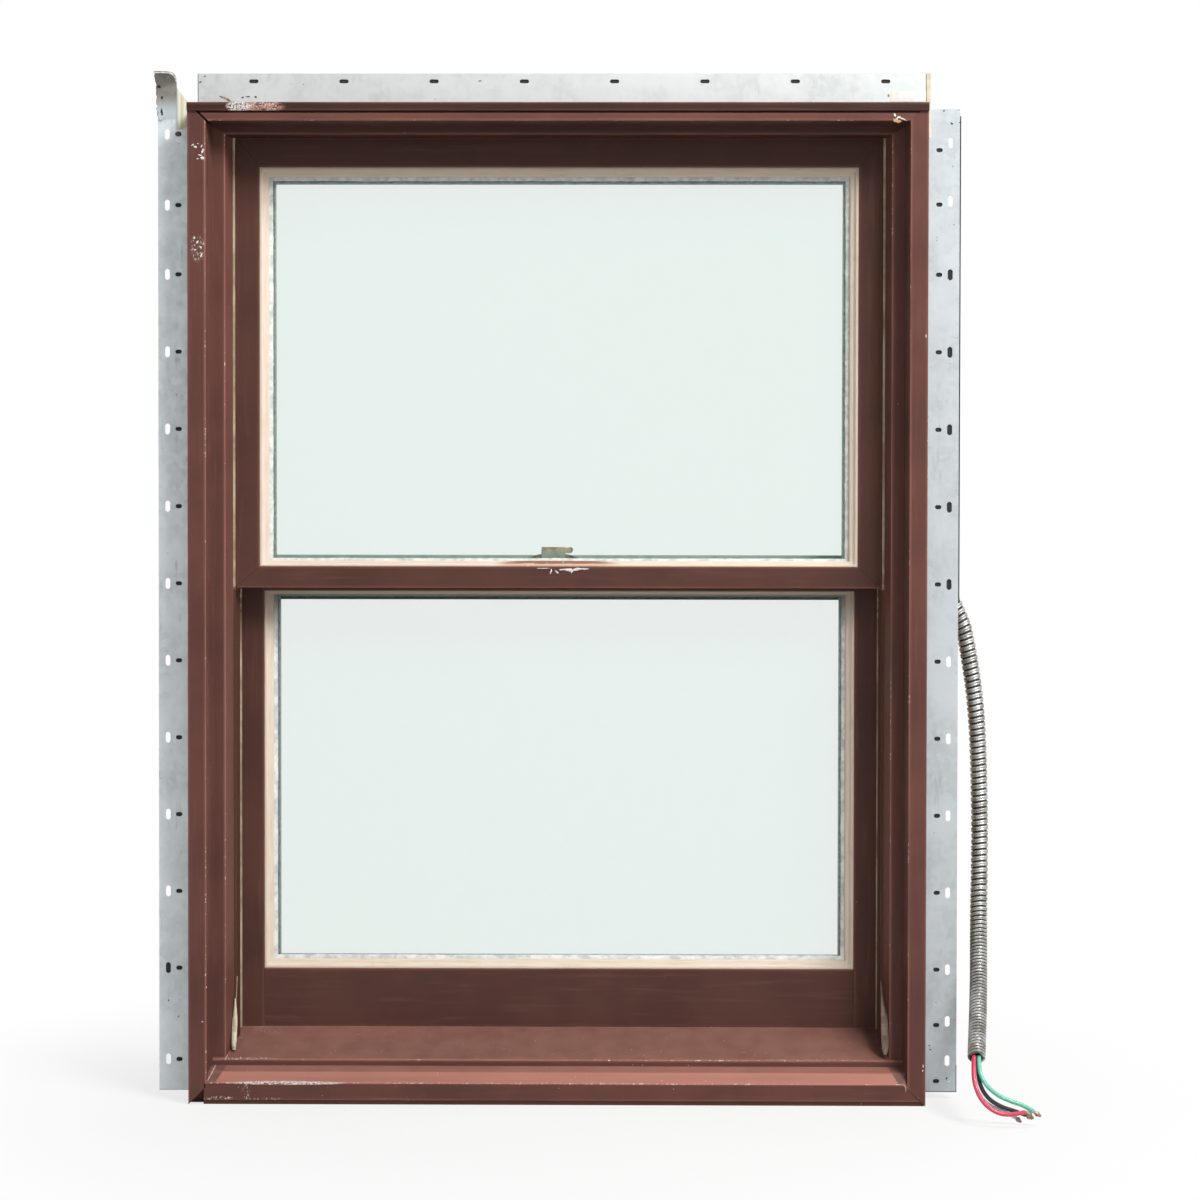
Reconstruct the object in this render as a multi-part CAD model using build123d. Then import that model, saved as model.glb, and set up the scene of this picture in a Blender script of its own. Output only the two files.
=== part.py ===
from build123d import *
import math
import os

# Double-hung window, clad in brown aluminium outside and wood inside, with nailing fins.
# Millimetres, +X to the right as seen from outside, -Y towards the outside, +Z up.
# The origin is the centre of the sill's underside. In the sections below a "depth" is
# measured inwards from the outside face of the frame, and an "inset" from its edge.

# Frame
frame_width = 940.0
frame_height = 1275.0
skin = 2.0
face_width = 23.0
reveal_draft = 3.2
step_depth = 35.0
step_width = 16.0
inner_draft = 4.8
channel_depth = 69.0
head_reveal_draft = 1.0
head_step = 10.0
head_rise = 1.0
head_soffit = 31.0

# Sill
lip_height = 6.0
lip_recess = 3.0
nose_top = 28.0
nose_back = 12.0
nose_ledge = 40.0
step_ledge = 44.0
step_front = 30.0
step_height = 52.0
seat_height = 79.0
sill_stop_height = 98.0

# Drip cap over the head
cap_height = 9.5
cap_nose = 3.0
cap_sheet = 1.5
cap_reach = 40.0
groove_height = 2.5
groove_depth = 4.0

# Nailing fins
fin_depth = 45.0
fin_reach = 45.5
fin_sheet = 1.2
fin_leg = 16.0
side_fin_bottom = 9.0
fin_first_row = 167.3
fin_row_pitch = 99.5
fin_top_margin = 170.0
outer_slot_inset = 33.7
outer_slot_width = 6.4
outer_slot_length = 14.0
inner_slot_inset = 19.4
inner_slot_width = 5.5
inner_slot_length = 8.2
left_low_rows = (48.7,)
left_top_drops = (123.3, 32.1)
right_outer_low_rows = (49.4, 100.3)
right_outer_top_drops = (117.6, 43.0)
right_inner_low_rows = (22.9, 95.5)
right_inner_top_drops = (122.2, 52.5)
head_fin_short = 6.0
head_fin_over = 5.0
head_slot_pitch = 116.0
head_slot_lead = 72.0
head_slot_margin = 50.0
head_slot_drop = 10.0
head_slot_width = 5.0
head_slot_length = 12.0
corner_strip_width = 5.0
corner_strip_sheet = 1.5
corner_strip_length = 82.0
edge_strip_width = 1.6
edge_strip_depth = 10.0
edge_strip_length = 625.0
edge_strip_drop = 9.0

# Curled top end of the left fin and the cream gusset beside it
flap_overhang = 4.0
flap_width = 28.5
flap_lap = 13.0
flap_straight = 40.0
flap_radius = 19.0
flap_turn = 78.0
flap_corner = 12.0
gusset_sheet = 1.5
gusset_drop = 26.0
gusset_foot = 7.0

# Jamb liners and stops
liner_sheet = 2.7
rib_reach = 2.2
parting_rib = 2.8
guide_reach = 2.5
guide_width = 7.0
stop_width = 11.0
stop_depth = 13.7
stop_round = 4.0

# Sashes
sash_depth = 36.0
sash_front_gap = 1.0
sash_gap = 4.0
sash_clearance = 0.3
stile_width = 31.2
upper_top_rail = 39.0
meeting_height = 659.0
meeting_rail = 28.0
meeting_lap = 34.0
lower_top_rail = 38.0
bottom_rail = 77.0
sash_lip = 12.0
lip_thickness = 8.0
lip_round = 5.0
groove_clearance = 0.6

# Glazing
bead_width = 11.4
bead_recess = 1.5
bead_slope = 5.0
pane_clearance = 2.0
pane_thickness = 3.0
pane_gap = 10.0
pane_front = 12.0
sealant_width = 5.0
sealant_height = 1.0
spacer_width = 19.0

# Sash lock
lock_x = -8.0
lock_width = 73.0
lock_depth = 22.0
lock_setback = 5.0
lock_foot = 3.0
ear_rise = 5.0
ear_shoulder = 9.0
housing_width = 32.0
housing_height = 14.0
lever_height = 6.0
lever_reach = 26.0
lever_knob = 8.5
keeper_width = 62.0
keeper_height = 3.0

# Conduit and wires
conduit_diameter = 22.4
wire_diameter = 5.4
wire_tip_diameter = 5.0
wire_tip_length = 11.0
wire_lead = 21.0
wire_clearance = 0.25
elbow_outer = 24.0
elbow_radius = 22.0
elbow_turn = 63.0
elbow_stub = 8.0
locknut_radius = 16.5
locknut_sheet = 3.0
collar_radius = 15.5
collar_length = 18.0
conduit_depth = 88.0
conduit_lead = 40.0
connector_height = 687.0

half_width = frame_width / 2
inner_edge = face_width + reveal_draft + step_width + inner_draft
sash_half = half_width - inner_edge - liner_sheet - sash_clearance
soffit = frame_height - head_soffit
upper_front = channel_depth + sash_front_gap
lower_front = upper_front + sash_depth + sash_gap
stop_front = lower_front + sash_depth + sash_clearance
frame_depth = stop_front + stop_depth
upper_top = soffit - sash_clearance
lower_top = meeting_height + meeting_lap


def at_depth(depth):
    """Y of a depth behind the outside face of the frame."""
    return depth - frame_depth / 2


def bar_x(section, x0, x1):
    """A bar along X from a section of (depth, height) points."""
    pts = [(at_depth(d), z) for d, z in section]
    plane = Plane(origin=(x0, 0, 0), x_dir=(0, 1, 0), z_dir=(1, 0, 0))
    return extrude(plane * make_face(Polyline(*pts, close=True)), amount=x1 - x0)


def bar_z(section, z0, z1):
    """An upright bar from a section of (x, depth) points."""
    pts = [(x, at_depth(d)) for x, d in section]
    return extrude(Plane.XY.offset(z0) * make_face(Polyline(*pts, close=True)), amount=z1 - z0)


def slab(outline, depth0, depth1):
    """A plate from an outline of (x, z) points, between two depths."""
    plane = Plane(origin=(0, at_depth(depth1), 0), x_dir=(1, 0, 0), z_dir=(0, -1, 0))
    return extrude(plane * make_face(Polyline(*outline, close=True)), amount=depth1 - depth0)


def block(x0, x1, depth0, depth1, z0, z1):
    """A rectangular block."""
    return bar_z([(x0, depth0), (x1, depth0), (x1, depth1), (x0, depth1)], z0, z1)


def mirrored(shape):
    """The same piece on the other side."""
    return mirror(shape, about=Plane.YZ)


def jamb_outline():
    """Outer outline of the left jamb's section: face, two drafted reveals and the step between."""
    ledge = face_width + reveal_draft + step_width
    insets = [(0, 0), (face_width, 0), (face_width + reveal_draft, step_depth), (ledge, step_depth),
              (inner_edge, channel_depth), (inner_edge, frame_depth), (0, frame_depth)]
    return [(-half_width + u, d) for u, d in insets]


def head_outline():
    """Outer outline of the head's section, with the drip groove under the cap."""
    drop = face_width + head_reveal_draft
    ledge = drop + head_step
    groove_bottom = cap_height + groove_height
    drops = [(0, cap_sheet), (0, cap_height), (groove_depth, cap_height), (groove_depth, groove_bottom),
             (0, groove_bottom), (0, face_width), (step_depth, drop), (step_depth, ledge),
             (channel_depth, ledge - head_rise), (channel_depth, head_soffit), (frame_depth, head_soffit),
             (frame_depth, 0), (cap_reach, 0), (cap_reach, cap_sheet)]
    return [(d, frame_height - v) for d, v in drops]


def sill_outline():
    """Outer outline of the sill's section: lip, nose, two ledges, slope, sash seat and stop."""
    return [(lip_recess, 0), (lip_recess, lip_height), (0, lip_height), (0, nose_top),
            (nose_back, nose_ledge), (step_front, step_ledge), (step_front, step_height),
            (lower_front, seat_height), (stop_front, seat_height), (stop_front, sill_stop_height),
            (frame_depth, sill_stop_height), (frame_depth, 0)]


def inner_face(points):
    """The section left inside the cladding's sheet."""
    return offset(make_face(Polyline(*points, close=True)), amount=-skin, kind=Kind.INTERSECTION)


def core_x(section, depth, x0, x1):
    """What lies inside the cladding of a level member, whole behind the cladding's back edge."""
    pts = [(at_depth(d), z) for d, z in section]
    plane = Plane(origin=(x0, 0, 0), x_dir=(0, 1, 0), z_dir=(1, 0, 0))
    inside = extrude(plane * inner_face(pts), amount=x1 - x0)
    back = bar_x(section, x0, x1) & block(x0, x1, depth, frame_depth, -1, frame_height + 1)
    return inside + back


def core_z(section, depth, z0, z1):
    """What lies inside the cladding of an upright member, whole behind the cladding's back edge."""
    pts = [(x, at_depth(d)) for x, d in section]
    inside = extrude(Plane.XY.offset(z0) * inner_face(pts), amount=z1 - z0)
    back = bar_z(section, z0, z1) & block(-half_width, half_width, depth, frame_depth, z0, z1)
    return inside + back


def jamb_space():
    """The room that the left jamb takes, mitred to the head and the sill nose at its face."""
    ledge_drop = face_width + head_reveal_draft + head_step - head_rise
    outline = [(-half_width, 0), (-half_width, frame_height),
               (-half_width + face_width, frame_height - face_width),
               (-half_width + inner_edge, frame_height - ledge_drop),
               (-half_width + inner_edge, face_width), (-half_width + face_width, face_width)]
    front = slab(outline, 0, channel_depth)
    back = block(-half_width, -half_width + inner_edge, channel_depth, frame_depth, face_width, frame_height)
    return (front + back) & bar_z(jamb_outline(), 0, frame_height)


def level_slot(x, z, width, length):
    """A cutter for a round-ended level slot through a fin's flange."""
    plane = Plane(origin=(x, at_depth(fin_depth), z), x_dir=(1, 0, 0), z_dir=(0, -1, 0))
    return extrude(plane * SlotOverall(length, width), amount=fin_sheet, both=True)


def upright_slot(x, z, width, length):
    """A cutter for an upright slot with chamfered ends through a fin's flange."""
    plane = Plane(origin=(x, at_depth(fin_depth), z), x_dir=(1, 0, 0), z_dir=(0, -1, 0))
    outline = Rectangle(width, length)
    return extrude(plane * chamfer(outline.vertices(), width / 3), amount=fin_sheet, both=True)


def slot_rows(low_rows, top_drops):
    """Heights of a column of slots: odd ones at the foot, the regular rows, odd ones at the top."""
    gaps = int((frame_height - fin_top_margin - fin_first_row) // fin_row_pitch)
    regular = [fin_first_row + i * fin_row_pitch for i in range(gaps + 1)]
    return list(low_rows) + regular + [frame_height - drop for drop in top_drops]


def side_fin(outer_rows, inner_rows):
    """Left nailing fin: a slotted flange and the leg that lies against the jamb."""
    edge = -half_width
    flange = block(edge - fin_reach, edge, fin_depth, fin_depth + fin_sheet, side_fin_bottom, frame_height)
    leg = block(edge - fin_sheet, edge, fin_depth, fin_depth + fin_leg, side_fin_bottom, frame_height)
    fin = flange + leg
    outer_x = edge - outer_slot_inset
    inner_x = edge - inner_slot_inset
    cutters = [upright_slot(outer_x, z, outer_slot_width, outer_slot_length) for z in outer_rows]
    cutters += [level_slot(inner_x, z, inner_slot_width, inner_slot_length) for z in inner_rows]
    return fin - cutters


def head_fin():
    """Nailing fin over the head."""
    top = frame_height + fin_reach
    x0 = -half_width + head_fin_short
    x1 = half_width + head_fin_over
    flange = block(x0, x1, fin_depth, fin_depth + fin_sheet, frame_height, top)
    leg = block(x0, x1, fin_depth, fin_depth + fin_leg, frame_height, frame_height + fin_sheet)
    gaps = int((x1 - x0 - head_slot_lead - head_slot_margin) // head_slot_pitch)
    places = [x0 + head_slot_lead + i * head_slot_pitch for i in range(gaps + 1)]
    cutters = [level_slot(x, top - head_slot_drop, head_slot_width, head_slot_length) for x in places]
    return flange + leg - cutters


def curled_flap():
    """Bent top end of the left fin: a strip that stands in front of the flange and curls outwards."""
    inner = flap_radius - fin_sheet
    turn = math.radians(flap_turn)
    front = at_depth(fin_depth - fin_sheet)
    back = at_depth(fin_depth)
    foot = frame_height - flap_lap
    start = foot + flap_straight
    middle = front - inner
    tip = (middle + flap_radius * math.cos(turn), start + flap_radius * math.sin(turn))
    near = CenterArc((middle, start), inner, 0, flap_turn)
    far = CenterArc((middle, start), flap_radius, flap_turn, -flap_turn)
    section = Curve() + [Line((front, foot), (front, start)), near, Line(near @ 1, tip), far,
                         Polyline((back, start), (back, foot), (front, foot))]
    x0 = -half_width - fin_reach - flap_overhang
    plane = Plane(origin=(x0, 0, 0), x_dir=(0, 1, 0), z_dir=(1, 0, 0))
    strip = extrude(plane * make_face(section), amount=flap_width)
    top = start + flap_radius * math.sin(turn)
    outline = Pos(x0 + flap_width / 2, (foot + top) / 2) * Rectangle(flap_width, top - foot)
    corners = outline.vertices().group_by(Axis.Y)[-1]
    outline = chamfer(corners.sort_by(Axis.X)[0], flap_corner / 3)
    outline = fillet(outline.vertices().sort_by_distance((x0 + flap_width, top))[0], flap_corner)
    face = Plane(origin=(0, at_depth(fin_depth), 0), x_dir=(1, 0, 0), z_dir=(0, -1, 0)) * outline
    return strip & extrude(face, amount=2 * flap_radius)


def gusset():
    """Cream web between the left fin's bent end and the head's corner, on the front of the flange."""
    top = frame_height - flap_lap + flap_straight
    outer = -half_width - fin_reach - flap_overhang + flap_width
    drop = frame_height - gusset_drop
    outline = [(outer, drop), (outer + gusset_foot, drop), (-half_width, frame_height - flap_lap),
               (-half_width, frame_height), (outer, top)]
    return slab(outline, fin_depth - gusset_sheet, fin_depth)


def jamb_liner():
    """Left liner: a sheet with the parting rib and one guide rib for each sash."""
    wall = -sash_half - sash_clearance
    back = wall - liner_sheet
    part0 = (upper_front + sash_depth + lower_front - parting_rib) / 2
    part1 = part0 + parting_rib
    points = [(back, channel_depth), (wall, channel_depth)]
    for front in (upper_front, lower_front):
        guide0 = front + (sash_depth - guide_width) / 2
        guide1 = guide0 + guide_width
        points += [(wall, guide0), (wall + guide_reach, guide0), (wall + guide_reach, guide1), (wall, guide1)]
        if front == upper_front:
            points += [(wall, part0), (wall + rib_reach, part0), (wall + rib_reach, part1), (wall, part1)]
    points += [(wall, stop_front), (back, stop_front)]
    return bar_z(points, step_height, soffit)


def member_face(width, front, grooved):
    """Section of a sash member: x is the inset from the sash's edge and y the depth."""
    back = front + sash_depth
    lip_front = back - lip_thickness
    corner = (width + sash_lip, back)
    points = [(0, front), (width, front), (width, lip_front), (width + sash_lip, lip_front), corner]
    points += [(0, back)]
    if grooved:
        middle = front + sash_depth / 2
        half = guide_width / 2 + groove_clearance
        depth = guide_reach + groove_clearance - sash_clearance
        points += [(0, middle + half), (depth, middle + half), (depth, middle - half), (0, middle - half)]
    face = make_face(Polyline(*points, close=True))
    return fillet(face.vertices().sort_by_distance(corner)[0], lip_round)


def left_stile(front, bottom, top):
    """Left stile of a sash, over its whole height, with its lip rounded towards the room."""
    face = Pos(-sash_half, at_depth(0)) * member_face(stile_width, front, True)
    return extrude(Plane.XY.offset(bottom) * face, amount=top - bottom)


def rail(front, edge, width, upwards):
    """A rail between the stiles, notched at its ends round the stiles' glazing lips."""
    reach = sash_half - stile_width
    lip_reach = reach - sash_lip
    rise = 1 if upwards else -1
    plane = Plane(origin=(reach * rise, 0, edge), x_dir=(0, 0, rise), z_dir=(-rise, 0, 0))
    face = Pos(0, at_depth(0)) * member_face(width, front, False)
    whole = extrude(plane * face, amount=2 * reach)
    low, high = sorted((edge, edge + rise * (width + sash_lip)))
    lip_depth = front + sash_depth - lip_thickness
    for x0, x1 in ((-reach, -lip_reach), (lip_reach, reach)):
        whole -= block(x0, x1, lip_depth, front + sash_depth, low, high)
    return whole


def ring(section, x_half, bottom, top):
    """A mitred ring round an opening, from a section of (inset from the opening's edge, depth)."""
    bars = []
    for x, z, turn in ((-x_half, bottom, 0), (x_half, bottom, 90), (x_half, top, 180), (-x_half, top, 270)):
        level = turn % 180 == 0
        length = 2 * x_half if level else top - bottom
        pts = [(at_depth(d), u) for u, d in section]
        plane = Plane(origin=(0, 0, 0), x_dir=(0, 1, 0), z_dir=(1, 0, 0))
        bar = extrude(plane * make_face(Polyline(*pts, close=True)), amount=length)
        corner = slab([(0, 0), (length, 0), (length / 2, length / 2)], 0, frame_depth)
        bars.append(Pos(x, 0, z) * Rot(0, -turn, 0) * (bar & corner))
    return bars[0] + bars[1] + bars[2] + bars[3]


def glazing_bead(front, x_half, bottom, top):
    """Wood bead that slopes from the sash's face down to the glass."""
    glass = front + pane_front
    section = [(0, front + bead_recess), (bead_width / 4, front + bead_recess),
               (bead_width, front + bead_recess + bead_slope), (bead_width, glass), (0, glass)]
    return ring(section, x_half, bottom, top)


def sealant_strip(front, x_half, bottom, top):
    """Strip of sealant on the glass along the bead."""
    glass = front + pane_front
    section = [(bead_width, glass - sealant_height), (bead_width + sealant_width, glass - sealant_height / 2),
               (bead_width + sealant_width, glass), (bead_width, glass)]
    return ring(section, x_half, bottom, top)


def glass_spacer(front, x_half, bottom, top):
    """Spacer between the two panes."""
    near = front + pane_front + pane_thickness
    section = [(pane_clearance, near), (spacer_width, near), (spacer_width, near + pane_gap),
               (pane_clearance, near + pane_gap)]
    return ring(section, x_half, bottom, top)


def panes(front, x_half, bottom, top):
    """The two panes of the sealed unit."""
    sheets = []
    for near in (front + pane_front, front + pane_front + pane_thickness + pane_gap):
        sheets.append(block(-x_half + pane_clearance, x_half - pane_clearance, near, near + pane_thickness,
                            bottom + pane_clearance, top - pane_clearance))
    return Compound(children=sheets)


def sash_lock():
    """Base on the lower sash, lever over its housing, and keeper on the upper sash."""
    back = lower_front + sash_depth - lock_setback
    front = back - lock_depth
    half = housing_width / 2
    ear = lock_width / 2
    profile = [(-ear, 0), (-ear, lock_foot), (-ear + 7, ear_rise), (-half - 3, ear_shoulder),
               (-half, ear_shoulder), (-half, housing_height), (half, housing_height),
               (half, ear_shoulder), (half + 3, ear_shoulder), (ear - 7, ear_rise), (ear, lock_foot),
               (ear, 0)]
    base = slab([(lock_x + x, lower_top + z) for x, z in profile], front, back)
    base = chamfer(base.edges().filter_by(Axis.X).group_by(Axis.Z)[-1], 1.5)
    top = lower_top + housing_height
    lever = block(lock_x - half, lock_x + half, front + 3, back - 3, top, top + lever_height)
    lever = chamfer(lever.faces().sort_by(Axis.Z)[-1].edges(), 1.2)
    low = top + lever_height - lever_knob
    knob = block(lock_x + half, lock_x + lever_reach, front + 6, back - 6, low, top + lever_height)
    knob = chamfer(knob.edges().filter_by(Axis.Y), 1.5)
    lip_top = meeting_height + meeting_rail + sash_lip
    keeper_back = upper_front + sash_depth - lip_round
    keeper_front = upper_front + sash_depth - lip_thickness
    keeper = block(lock_x - keeper_width / 2, lock_x + keeper_width / 2, keeper_front, keeper_back,
                   lip_top, lip_top + keeper_height)
    return base, lever + knob, keeper


def tube(points, diameter, name):
    """A cord's tube along straight runs and the largest tangent arcs, with its radii printed."""
    corners = [Vector(*p) for p in points]
    radii = []
    for before, here, after in zip(corners, corners[1:], corners[2:]):
        turn = (here - before).get_angle(after - here)
        run = min((here - before).length, (after - here).length)
        radii.append(0.45 * run / math.tan(math.radians(turn) / 2))
    path = FilletPolyline(*points, radius=radii)
    start = Plane(origin=corners[0], z_dir=corners[1] - corners[0])
    solid = sweep(start * Circle(diameter / 2), path=path)
    expected = math.pi * diameter ** 2 / 4 * path.length
    print(name, "length", round(path.length, 1), "volume ratio", round(solid.volume / expected, 5),
          "radii", [round(r, 1) for r in radii])
    return solid


def connector():
    """Angle connector on the side of the right jamb: locknut, elbow and eight-sided clamp collar."""
    y = at_depth(conduit_depth)
    side = Plane(origin=(half_width, y, connector_height), x_dir=(0, 1, 0), z_dir=(1, 0, 0))
    locknut = extrude(side * RegularPolygon(locknut_radius, 6), amount=locknut_sheet)
    start = (half_width + locknut_sheet, y, connector_height)
    stub_end = (half_width + elbow_stub, y, connector_height)
    turn = math.radians(elbow_turn)
    bend = (stub_end[0] + elbow_radius * math.sin(turn), y,
            connector_height - elbow_radius * (1 - math.cos(turn)))
    heading = Vector(math.cos(turn), 0, -math.sin(turn))
    path = Curve() + [Line(start, stub_end), TangentArc(stub_end, bend, tangent=(1, 0, 0))]
    elbow = sweep(Plane(origin=start, z_dir=(1, 0, 0)) * Circle(elbow_outer / 2), path=Wire(path.edges()))
    collar_plane = Plane(origin=bend, x_dir=(0, 1, 0), z_dir=heading)
    collar = extrude(collar_plane * RegularPolygon(collar_radius, 8), amount=collar_length)
    return locknut + elbow + collar, Vector(*bend) + heading * collar_length, heading


def wire_starts(end, direction):
    """Where the four wires leave the conduit's end face."""
    plane = Plane(origin=end, x_dir=(1, 0, 0), z_dir=direction)
    places = {}
    offset_from_middle = wire_diameter / 2 + wire_clearance
    for name, sx, sy in (("green", 1, 1), ("red", -1, 1), ("black", 1, -1), ("white", -1, -1)):
        places[name] = plane.from_local_coords(Vector(sx * offset_from_middle, sy * offset_from_middle, 0))
    return places


conduit_route = [(533, 88, 592), (546, 88, 505), (550, 88, 410), (551, 86, 320), (546, 62, 238),
                 (538.5, 10, 155), (530, -38, 107), (523.5, -72, 78)]
wire_routes = {
    "green": [(531.0, -99.8, 49.5), (546.5, -102, 37), (563, -104, 30.5), (578, -104.5, 26),
              (589.5, -105.5, 18.5)],
    "red": [(517, -103, 50), (524, -111, 33), (538.5, -115, 20.5), (557.5, -117, 16.3),
            (576.5, -118, 21.2)],
    "black": [(525.5, -94, 46), (535, -97, 32), (550, -98.5, 23), (566, -99, 18.2), (580.5, -98.5, 13)],
    "white": [(519, -92.6, 46), (527.5, -95, 30), (541, -94.5, 20.5), (556, -92, 16), (569, -93, 8.5)],
}

space = jamb_space()
both_spaces = [space, mirrored(space)]

head_core = core_x(head_outline(), channel_depth, -half_width, half_width)
head_whole = bar_x(head_outline(), -half_width, half_width)
sill_whole = bar_x(sill_outline(), -half_width, half_width) - both_spaces
sill_core = core_x(sill_outline(), lower_front, -half_width, half_width) - both_spaces
jamb_core = core_z(jamb_outline(), channel_depth, 0, frame_height) & space
cap_outline = [(-cap_nose, frame_height - cap_height), (0, frame_height - cap_height),
               (0, frame_height - cap_sheet), (cap_reach, frame_height - cap_sheet),
               (cap_reach, frame_height), (-cap_nose, frame_height)]

nodes = {}
nodes["head_cladding"] = head_whole - head_core - both_spaces
nodes["head_jamb"] = head_core - both_spaces
nodes["left_jamb_cladding"] = space - jamb_core
nodes["left_jamb"] = jamb_core
nodes["sill_cladding"] = sill_whole - sill_core
nodes["sill"] = sill_core
nodes["head_drip_cap"] = bar_x(cap_outline, -half_width, half_width) - both_spaces
nodes["left_jamb_liner"] = jamb_liner() - sill_whole

stop_x = -half_width + inner_edge
side_stop = block(stop_x, stop_x + stop_width, stop_front, frame_depth, sill_stop_height, soffit)
room_corner = (stop_x + stop_width, at_depth(frame_depth), 0)
room_edge = side_stop.edges().filter_by(Axis.Z).sort_by_distance(room_corner)[0]
nodes["left_stop"] = fillet(room_edge, stop_round)
head_stop_end = stop_x + stop_width
head_stop = block(head_stop_end, -head_stop_end, stop_front, frame_depth, soffit - stop_width, soffit)
room_corner = (0, at_depth(frame_depth), soffit - stop_width)
room_edge = head_stop.edges().filter_by(Axis.X).sort_by_distance(room_corner)[0]
nodes["head_stop"] = fillet(room_edge, stop_round)

left_rows = slot_rows(left_low_rows, left_top_drops)
right_outer_rows = slot_rows(right_outer_low_rows, right_outer_top_drops)
right_inner_rows = slot_rows(right_inner_low_rows, right_inner_top_drops)
nodes["left_fin"] = side_fin(left_rows, left_rows)
nodes["right_fin"] = mirrored(side_fin(right_outer_rows, right_inner_rows))
nodes["head_fin"] = head_fin()
nodes["left_fin_flap"] = curled_flap()
nodes["left_fin_gusset"] = gusset()
strip_top = frame_height + fin_reach
strip_x = half_width + head_fin_over - corner_strip_width / 2
strip_front = fin_depth - corner_strip_sheet
strip_foot = strip_top - corner_strip_length
nodes["right_corner_strip"] = block(strip_x, strip_x + corner_strip_width, strip_front, fin_depth,
                                    strip_foot, strip_top)
fin_edge = half_width + fin_reach
edge_top = frame_height - edge_strip_drop
nodes["right_fin_edge_strip"] = block(fin_edge, fin_edge + edge_strip_width, fin_depth,
                                      fin_depth + edge_strip_depth, edge_top - edge_strip_length, edge_top)

sashes = {
    "upper": (upper_front, meeting_height, upper_top, meeting_rail, upper_top_rail),
    "lower": (lower_front, seat_height, lower_top, bottom_rail, lower_top_rail),
}
for name, (front, bottom, top, bottom_width, top_width) in sashes.items():
    nodes[name + "_sash_left_stile"] = left_stile(front, bottom, top)
    nodes[name + "_sash_top_rail"] = rail(front, top, top_width, False)
    nodes[name + "_sash_bottom_rail"] = rail(front, bottom, bottom_width, True)
    opening = (sash_half - stile_width, bottom + bottom_width, top - top_width)
    nodes[name + "_glazing_bead"] = glazing_bead(front, *opening)
    nodes[name + "_glass_sealant"] = sealant_strip(front, *opening)
    nodes[name + "_glass_spacer"] = glass_spacer(front, *opening)
    nodes[name + "_glass"] = panes(front, *opening)

nodes["sash_lock"], nodes["sash_lock_lever"], nodes["sash_lock_keeper"] = sash_lock()

for name in [n for n in nodes if "left" in n and "fin" not in n]:
    nodes[name.replace("left", "right")] = mirrored(nodes[name])

nodes["conduit_connector"], conduit_start, conduit_heading = connector()
conduit_points = [tuple(conduit_start), tuple(conduit_start + conduit_heading * conduit_lead)]
conduit_points += [(x, at_depth(d), z) for x, d, z in conduit_route]
nodes["conduit"] = tube(conduit_points, conduit_diameter, "conduit")
conduit_end = Vector(*conduit_points[-1])
end_heading = (conduit_end - Vector(*conduit_points[-2])).normalized()
starts = wire_starts(conduit_end, end_heading)
tips = []
for colour, route in wire_routes.items():
    points = [tuple(starts[colour]), tuple(starts[colour] + end_heading * wire_lead)]
    points += [(x, at_depth(d), z) for x, d, z in route]
    nodes[colour + "_wire"] = tube(points, wire_diameter, colour + "_wire")
    tip_plane = Plane(origin=points[-1], z_dir=Vector(*points[-1]) - Vector(*points[-2]))
    tips.append(extrude(tip_plane * Circle(wire_tip_diameter / 2), amount=wire_tip_length))
nodes["wire_tips"] = Compound(children=tips)

os.makedirs("parts", exist_ok=True)
for name, shape in nodes.items():
    export_step(shape, "parts/" + name + ".step")
print(len(nodes), "nodes")
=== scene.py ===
import math

import bmesh
import bpy
import numpy as np
from bpy.props import FloatProperty, FloatVectorProperty, PointerProperty
from mathutils import Matrix, Vector


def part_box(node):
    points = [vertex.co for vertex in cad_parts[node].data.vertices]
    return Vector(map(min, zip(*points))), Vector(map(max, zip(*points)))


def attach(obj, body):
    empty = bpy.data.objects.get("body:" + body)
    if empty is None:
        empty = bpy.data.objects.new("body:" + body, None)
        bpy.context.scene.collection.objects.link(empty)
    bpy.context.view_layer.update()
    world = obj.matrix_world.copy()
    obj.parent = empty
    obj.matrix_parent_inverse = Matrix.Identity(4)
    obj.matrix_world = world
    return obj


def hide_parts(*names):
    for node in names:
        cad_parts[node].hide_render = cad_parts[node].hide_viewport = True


bl_info = {
    "name": "Double-hung window",
    "version": (1, 0, 0),
    "blender": (4, 5, 0),
    "location": "View3D > Sidebar > Window",
    "description": "Dresses a clad double-hung window with its worn enamel, glazing, fins and conduit",
    "category": "Object",
}

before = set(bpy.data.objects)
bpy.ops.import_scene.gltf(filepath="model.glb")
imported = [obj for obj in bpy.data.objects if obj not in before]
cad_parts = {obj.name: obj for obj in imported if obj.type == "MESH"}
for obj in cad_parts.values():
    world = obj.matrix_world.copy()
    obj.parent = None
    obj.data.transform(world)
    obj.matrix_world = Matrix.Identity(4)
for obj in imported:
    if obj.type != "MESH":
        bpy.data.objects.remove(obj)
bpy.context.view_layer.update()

MM = 0.001


def box_mm(name):
    """The lowest and the highest corner of a CAD node, in millimetres."""
    return [np.array(corner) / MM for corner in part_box(name)]


# Half the frame's width, its top and its front face, in millimetres
JAMB_LOW, JAMB_HIGH = box_mm("left_jamb_cladding")
HALF = -JAMB_LOW[0]
TOP = JAMB_HIGH[2]
FRONT = JAMB_LOW[1]

# Points of a rounded corner, with those of the two more that lie a margin along its sides
ARC_POINTS = 5
CORNER_POINTS = ARC_POINTS + 2
CORNER_MARGIN = 2.5

# Depths at which flakes lie on the frame's front, on the fins and on the meeting rail
FRAME_FACE = -0.05
FIN_FACE = 44.95
RAIL_FACE = 69.9

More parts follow.
